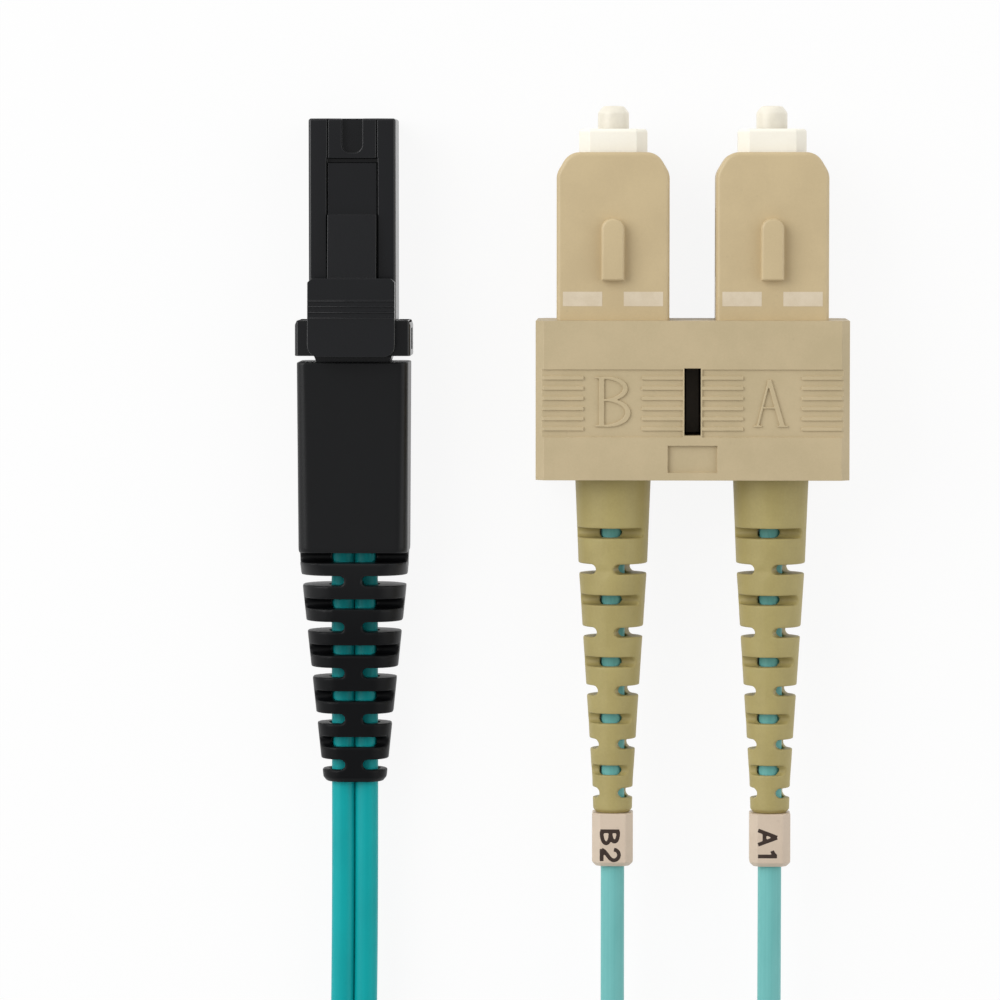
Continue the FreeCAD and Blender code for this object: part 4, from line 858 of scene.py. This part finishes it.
def letter_mesh(name, strokes, low, high, grid):
    """A letter as one even mesh: each stroke is a curve by its two ends and two handles, with half its width
    at the start, the middle and the end, all in millimetres."""
    corners, faces = [], []
    for *curve, (start, middle, end) in strokes:
        line = interpolate_bezier(*[Vector(point) for point in curve], STROKE_STEPS + 1)
        faces += tube_faces(len(line), 4, len(corners))
        for index, point in enumerate(line):
            ahead = line[min(index + 1, STROKE_STEPS)] - line[max(index - 1, 0)]
            share = index / STROKE_STEPS
            half = start * (1 - share) ** 2 + 2 * middle * share * (1 - share) + end * share**2
            aside = Vector((-ahead.y, ahead.x)).normalized() * half
            for flank, height in ((1, low), (-1, low), (-1, high), (1, high)):
                corners.append((point.x + flank * aside.x, point.y + flank * aside.y, height))
    mesh = bpy.data.meshes.new(name)
    mesh.from_pydata(corners, [], faces)
    outward(mesh)
    letter = show(name, mesh)
    wear(letter, grid, LETTER_ROUNDS)
    return settled(letter, WORN_CREASE)


for letter, strokes, middle in LETTERS:
    raised = letter_mesh(f"polarity_letter_{letter}", strokes, LETTER_LOW, LETTER_HIGH, LETTER_GRID)
    raised.data.transform(Matrix.Scale(MM, 4) @ Matrix.Translation((middle, LETTER_BASE, 0)))
    dress(raised, clip_finish, "duplex_grip", "clip_plastic")
for half in ("upper", "lower"):
    clip = rounded_copy(f"clip_{half}_half", f"duplex_clip_{half}", CLIP_EDGE)
    dress(clip, clip_finish, "duplex_grip", "clip_plastic", f"clip_{half}_half")

# Strain boots: olive rubber sleeves, pushed over the crimp sleeves. Their slots come by turns on top and at
# the sides, so that they bend evenly.
OLIVE_COLOUR = (174, 160, 104)
OLIVE_SHADE = (164, 150, 96)
OLIVE_GRID = 0.09
OLIVE_ROUNDS = 3
olive = moulded("olive_rubber", OLIVE_COLOUR, OLIVE_SHADE, 0.5, 0.18, 0.006, Specular_IOR_Level=0.4)
for letter in ("a", "b"):
    boot = soft_copy(f"strain_boot_{letter}", f"olive_boot_{letter}", OLIVE_GRID, OLIVE_ROUNDS)
    dress(boot, olive, "cord_and_frames", "olive_rubber", f"strain_boot_{letter}")

# Marker sleeves: square cream sleeves, slid on the legs up to the strain boots.
# Each channel's letter and number is printed on top.
SLEEVE_COLOUR = (214, 196, 176)
SLEEVE_SHADE = (205, 187, 167)
SLEEVE_EDGE = 0.1
INK_COLOUR = (46, 31, 22)
INK_SHADE = (56, 40, 30)
INK_HALF = (0.165, 0.165, 0.165)
TEXT_GRID = 0.04
TEXT_DEEP = 0.08
TEXT_PROUD = 0.02
TEXT_TALL = 1.55
TEXT_STEP = 1.5
TEXT_START = -0.94
TEXT_SHIFT = (-0.2, -0.55)
GLYPHS = {
    "A": (
        ((0.0, 0.0), (0.13, 0.33), (0.25, 0.67), (0.38, 1.0)),
        ((0.76, 0.0), (0.63, 0.33), (0.51, 0.67), (0.38, 1.0)),
        ((0.14, 0.34), (0.3, 0.34), (0.45, 0.34), (0.62, 0.34)),
    ),
    "B": (
        ((0.08, 0.0), (0.08, 0.33), (0.08, 0.67), (0.08, 1.0)),
        ((0.08, 0.93), (0.8, 0.96), (0.8, 0.53), (0.08, 0.53)),
        ((0.08, 0.53), (0.92, 0.56), (0.92, 0.05), (0.08, 0.07)),
    ),
    "1": (
        ((0.4, 0.0), (0.4, 0.33), (0.4, 0.67), (0.4, 1.0)),
        ((0.4, 0.95), (0.32, 0.85), (0.22, 0.78), (0.1, 0.73)),
    ),
    "2": (
        ((0.07, 0.7), (0.08, 1.08), (0.68, 1.06), (0.62, 0.64)),
        ((0.62, 0.66), (0.58, 0.44), (0.14, 0.3), (0.07, 0.07)),
        ((0.03, 0.07), (0.25, 0.07), (0.45, 0.07), (0.68, 0.07)),
    ),
}
sleeve_finish = moulded("sleeve_plastic", SLEEVE_COLOUR, SLEEVE_SHADE, 0.42, 0.12, 0.004)
ink = moulded("dark_ink", INK_COLOUR, INK_SHADE, 0.5, 0.08, 0.002, 0.6)
for letter, words in (("a", "A1"), ("b", "B2")):
    sleeve = rounded_copy(f"marker_sleeve_{letter}", f"channel_sleeve_{letter}", SLEEVE_EDGE)
    dress(sleeve, sleeve_finish, "cord_and_frames", "sleeve_plastic", f"marker_sleeve_{letter}")
    low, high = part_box(f"marker_sleeve_{letter}")
    strokes = []
    for place, word in enumerate(words):
        left = (place + TEXT_START) * TEXT_STEP
        for curve in GLYPHS[word]:
            scaled = [(left + x * TEXT_TALL, (y - 0.5) * TEXT_TALL) for x, y in curve]
            strokes.append((*scaled, INK_HALF))
    printed = letter_mesh(f"channel_print_{letter}", strokes, -TEXT_DEEP, TEXT_PROUD, TEXT_GRID)
    top_middle = Vector(((low.x + high.x) / 2, (low.y + high.y) / 2, high.z))
    shift = Matrix.Translation(top_middle + Vector((*TEXT_SHIFT, 0)) * MM)
    printed.data.transform(shift @ Matrix.Rotation(math.radians(-90), 4, "Z") @ Matrix.Scale(MM, 4))
    dress(printed, ink, "cord_and_frames", "sleeve_plastic")

# Stage: a white floor that keeps the shadow, a soft lamp on each side, and the even light of a tent whose top
# is darker, where the camera looks in.
WHITE = (1, 1, 1, 1)
FLOOR_PAINT = (0.92, 0.92, 0.92, 1)
FLOOR_REACH = 2
FLOOR_GLOW = 0.9
LAMP_SIZE = 0.7
LAMPS = (("left_softbox", (-0.55, 0.3, 0.55), 4.4), ("right_softbox", (0.6, 0.15, 0.5), 1.4))
TENT_SIDES = 0.85
TENT_TOP = 0.33
TENT_RIM = (0.35, 0.85)
floor_mesh = bpy.data.meshes.new("floor")
floor_corners = [(FLOOR_REACH * x, FLOOR_REACH * y, 0) for x, y in ((-1, -1), (1, -1), (1, 1), (-1, 1))]
floor_mesh.from_pydata(floor_corners, [], [(0, 1, 2, 3)])
floor = show("floor", floor_mesh)
floor_finish = Finish("floor", Base_Color=FLOOR_PAINT, Roughness=0.9, Specular_IOR_Level=0.0)
rays = floor_finish.node("ShaderNodeLightPath")
seen = floor_finish.value(rays, "Is Camera Ray")
for kind in ("Is Glossy Ray", "Is Transmission Ray"):
    seen = seen + floor_finish.value(rays, kind)
glow = floor_finish.value(floor_finish.node("ShaderNodeEmission", {"Color": WHITE, "Strength": 1.0}))
lit = floor_finish.value(floor_finish.shader)
blend = floor_finish.node("ShaderNodeMixShader", {0: seen * FLOOR_GLOW, 1: lit, 2: glow})
floor_finish.feed(floor_finish.output, "Surface", floor_finish.value(blend))
floor_mesh.materials.append(floor_finish.material)

for name, place, energy in LAMPS:
    lamp_data = bpy.data.lights.new(name, "AREA")
    lamp_data.size = LAMP_SIZE
    lamp_data.energy = energy
    lamp = bpy.data.objects.new(name, lamp_data)
    lamp.location = place
    lamp.rotation_euler = (-Vector(place)).to_track_quat("-Z", "Y").to_euler()
    bpy.context.scene.collection.objects.link(lamp)

world = bpy.data.worlds.new("studio")
world.use_nodes = True
tent = Nodes(world.node_tree)
direction = tent.value(tent.node("ShaderNodeTexCoord"), "Generated")
strength = TENT_SIDES + tent.between(tent.axis(direction, 2), *TENT_RIM) * (TENT_TOP - TENT_SIDES)
light = tent.node("ShaderNodeBackground", {"Color": WHITE, "Strength": strength})
tent.node("ShaderNodeOutputWorld", {"Surface": tent.value(light)})
bpy.context.scene.world = world
bpy.context.scene.view_settings.view_transform = "Standard"

# Camera: a long lens that looks down on the plugs from 0.4 m above them, with their noses to the top.
# It is aimed at the middle of the picture.
AIM = Vector((-5.73, -1.08, 4.9)) * MM
STAND = Vector((5.6, 23.1, 404.9)) * MM
SENSOR = 36
LENS = 178.9
NEAREST = 0.01
camera_data = bpy.data.cameras.new("camera")
camera_data.sensor_width = SENSOR
camera_data.lens = LENS
camera_data.clip_start = NEAREST
camera = bpy.data.objects.new("camera", camera_data)
backward = (STAND - AIM).normalized()
right = Vector((0, 1, 0)).cross(backward).normalized()
axes = Matrix((right, backward.cross(right), backward)).transposed()
camera.matrix_world = Matrix.Translation(STAND) @ axes.to_4x4()
bpy.context.scene.collection.objects.link(camera)
bpy.context.scene.camera = camera
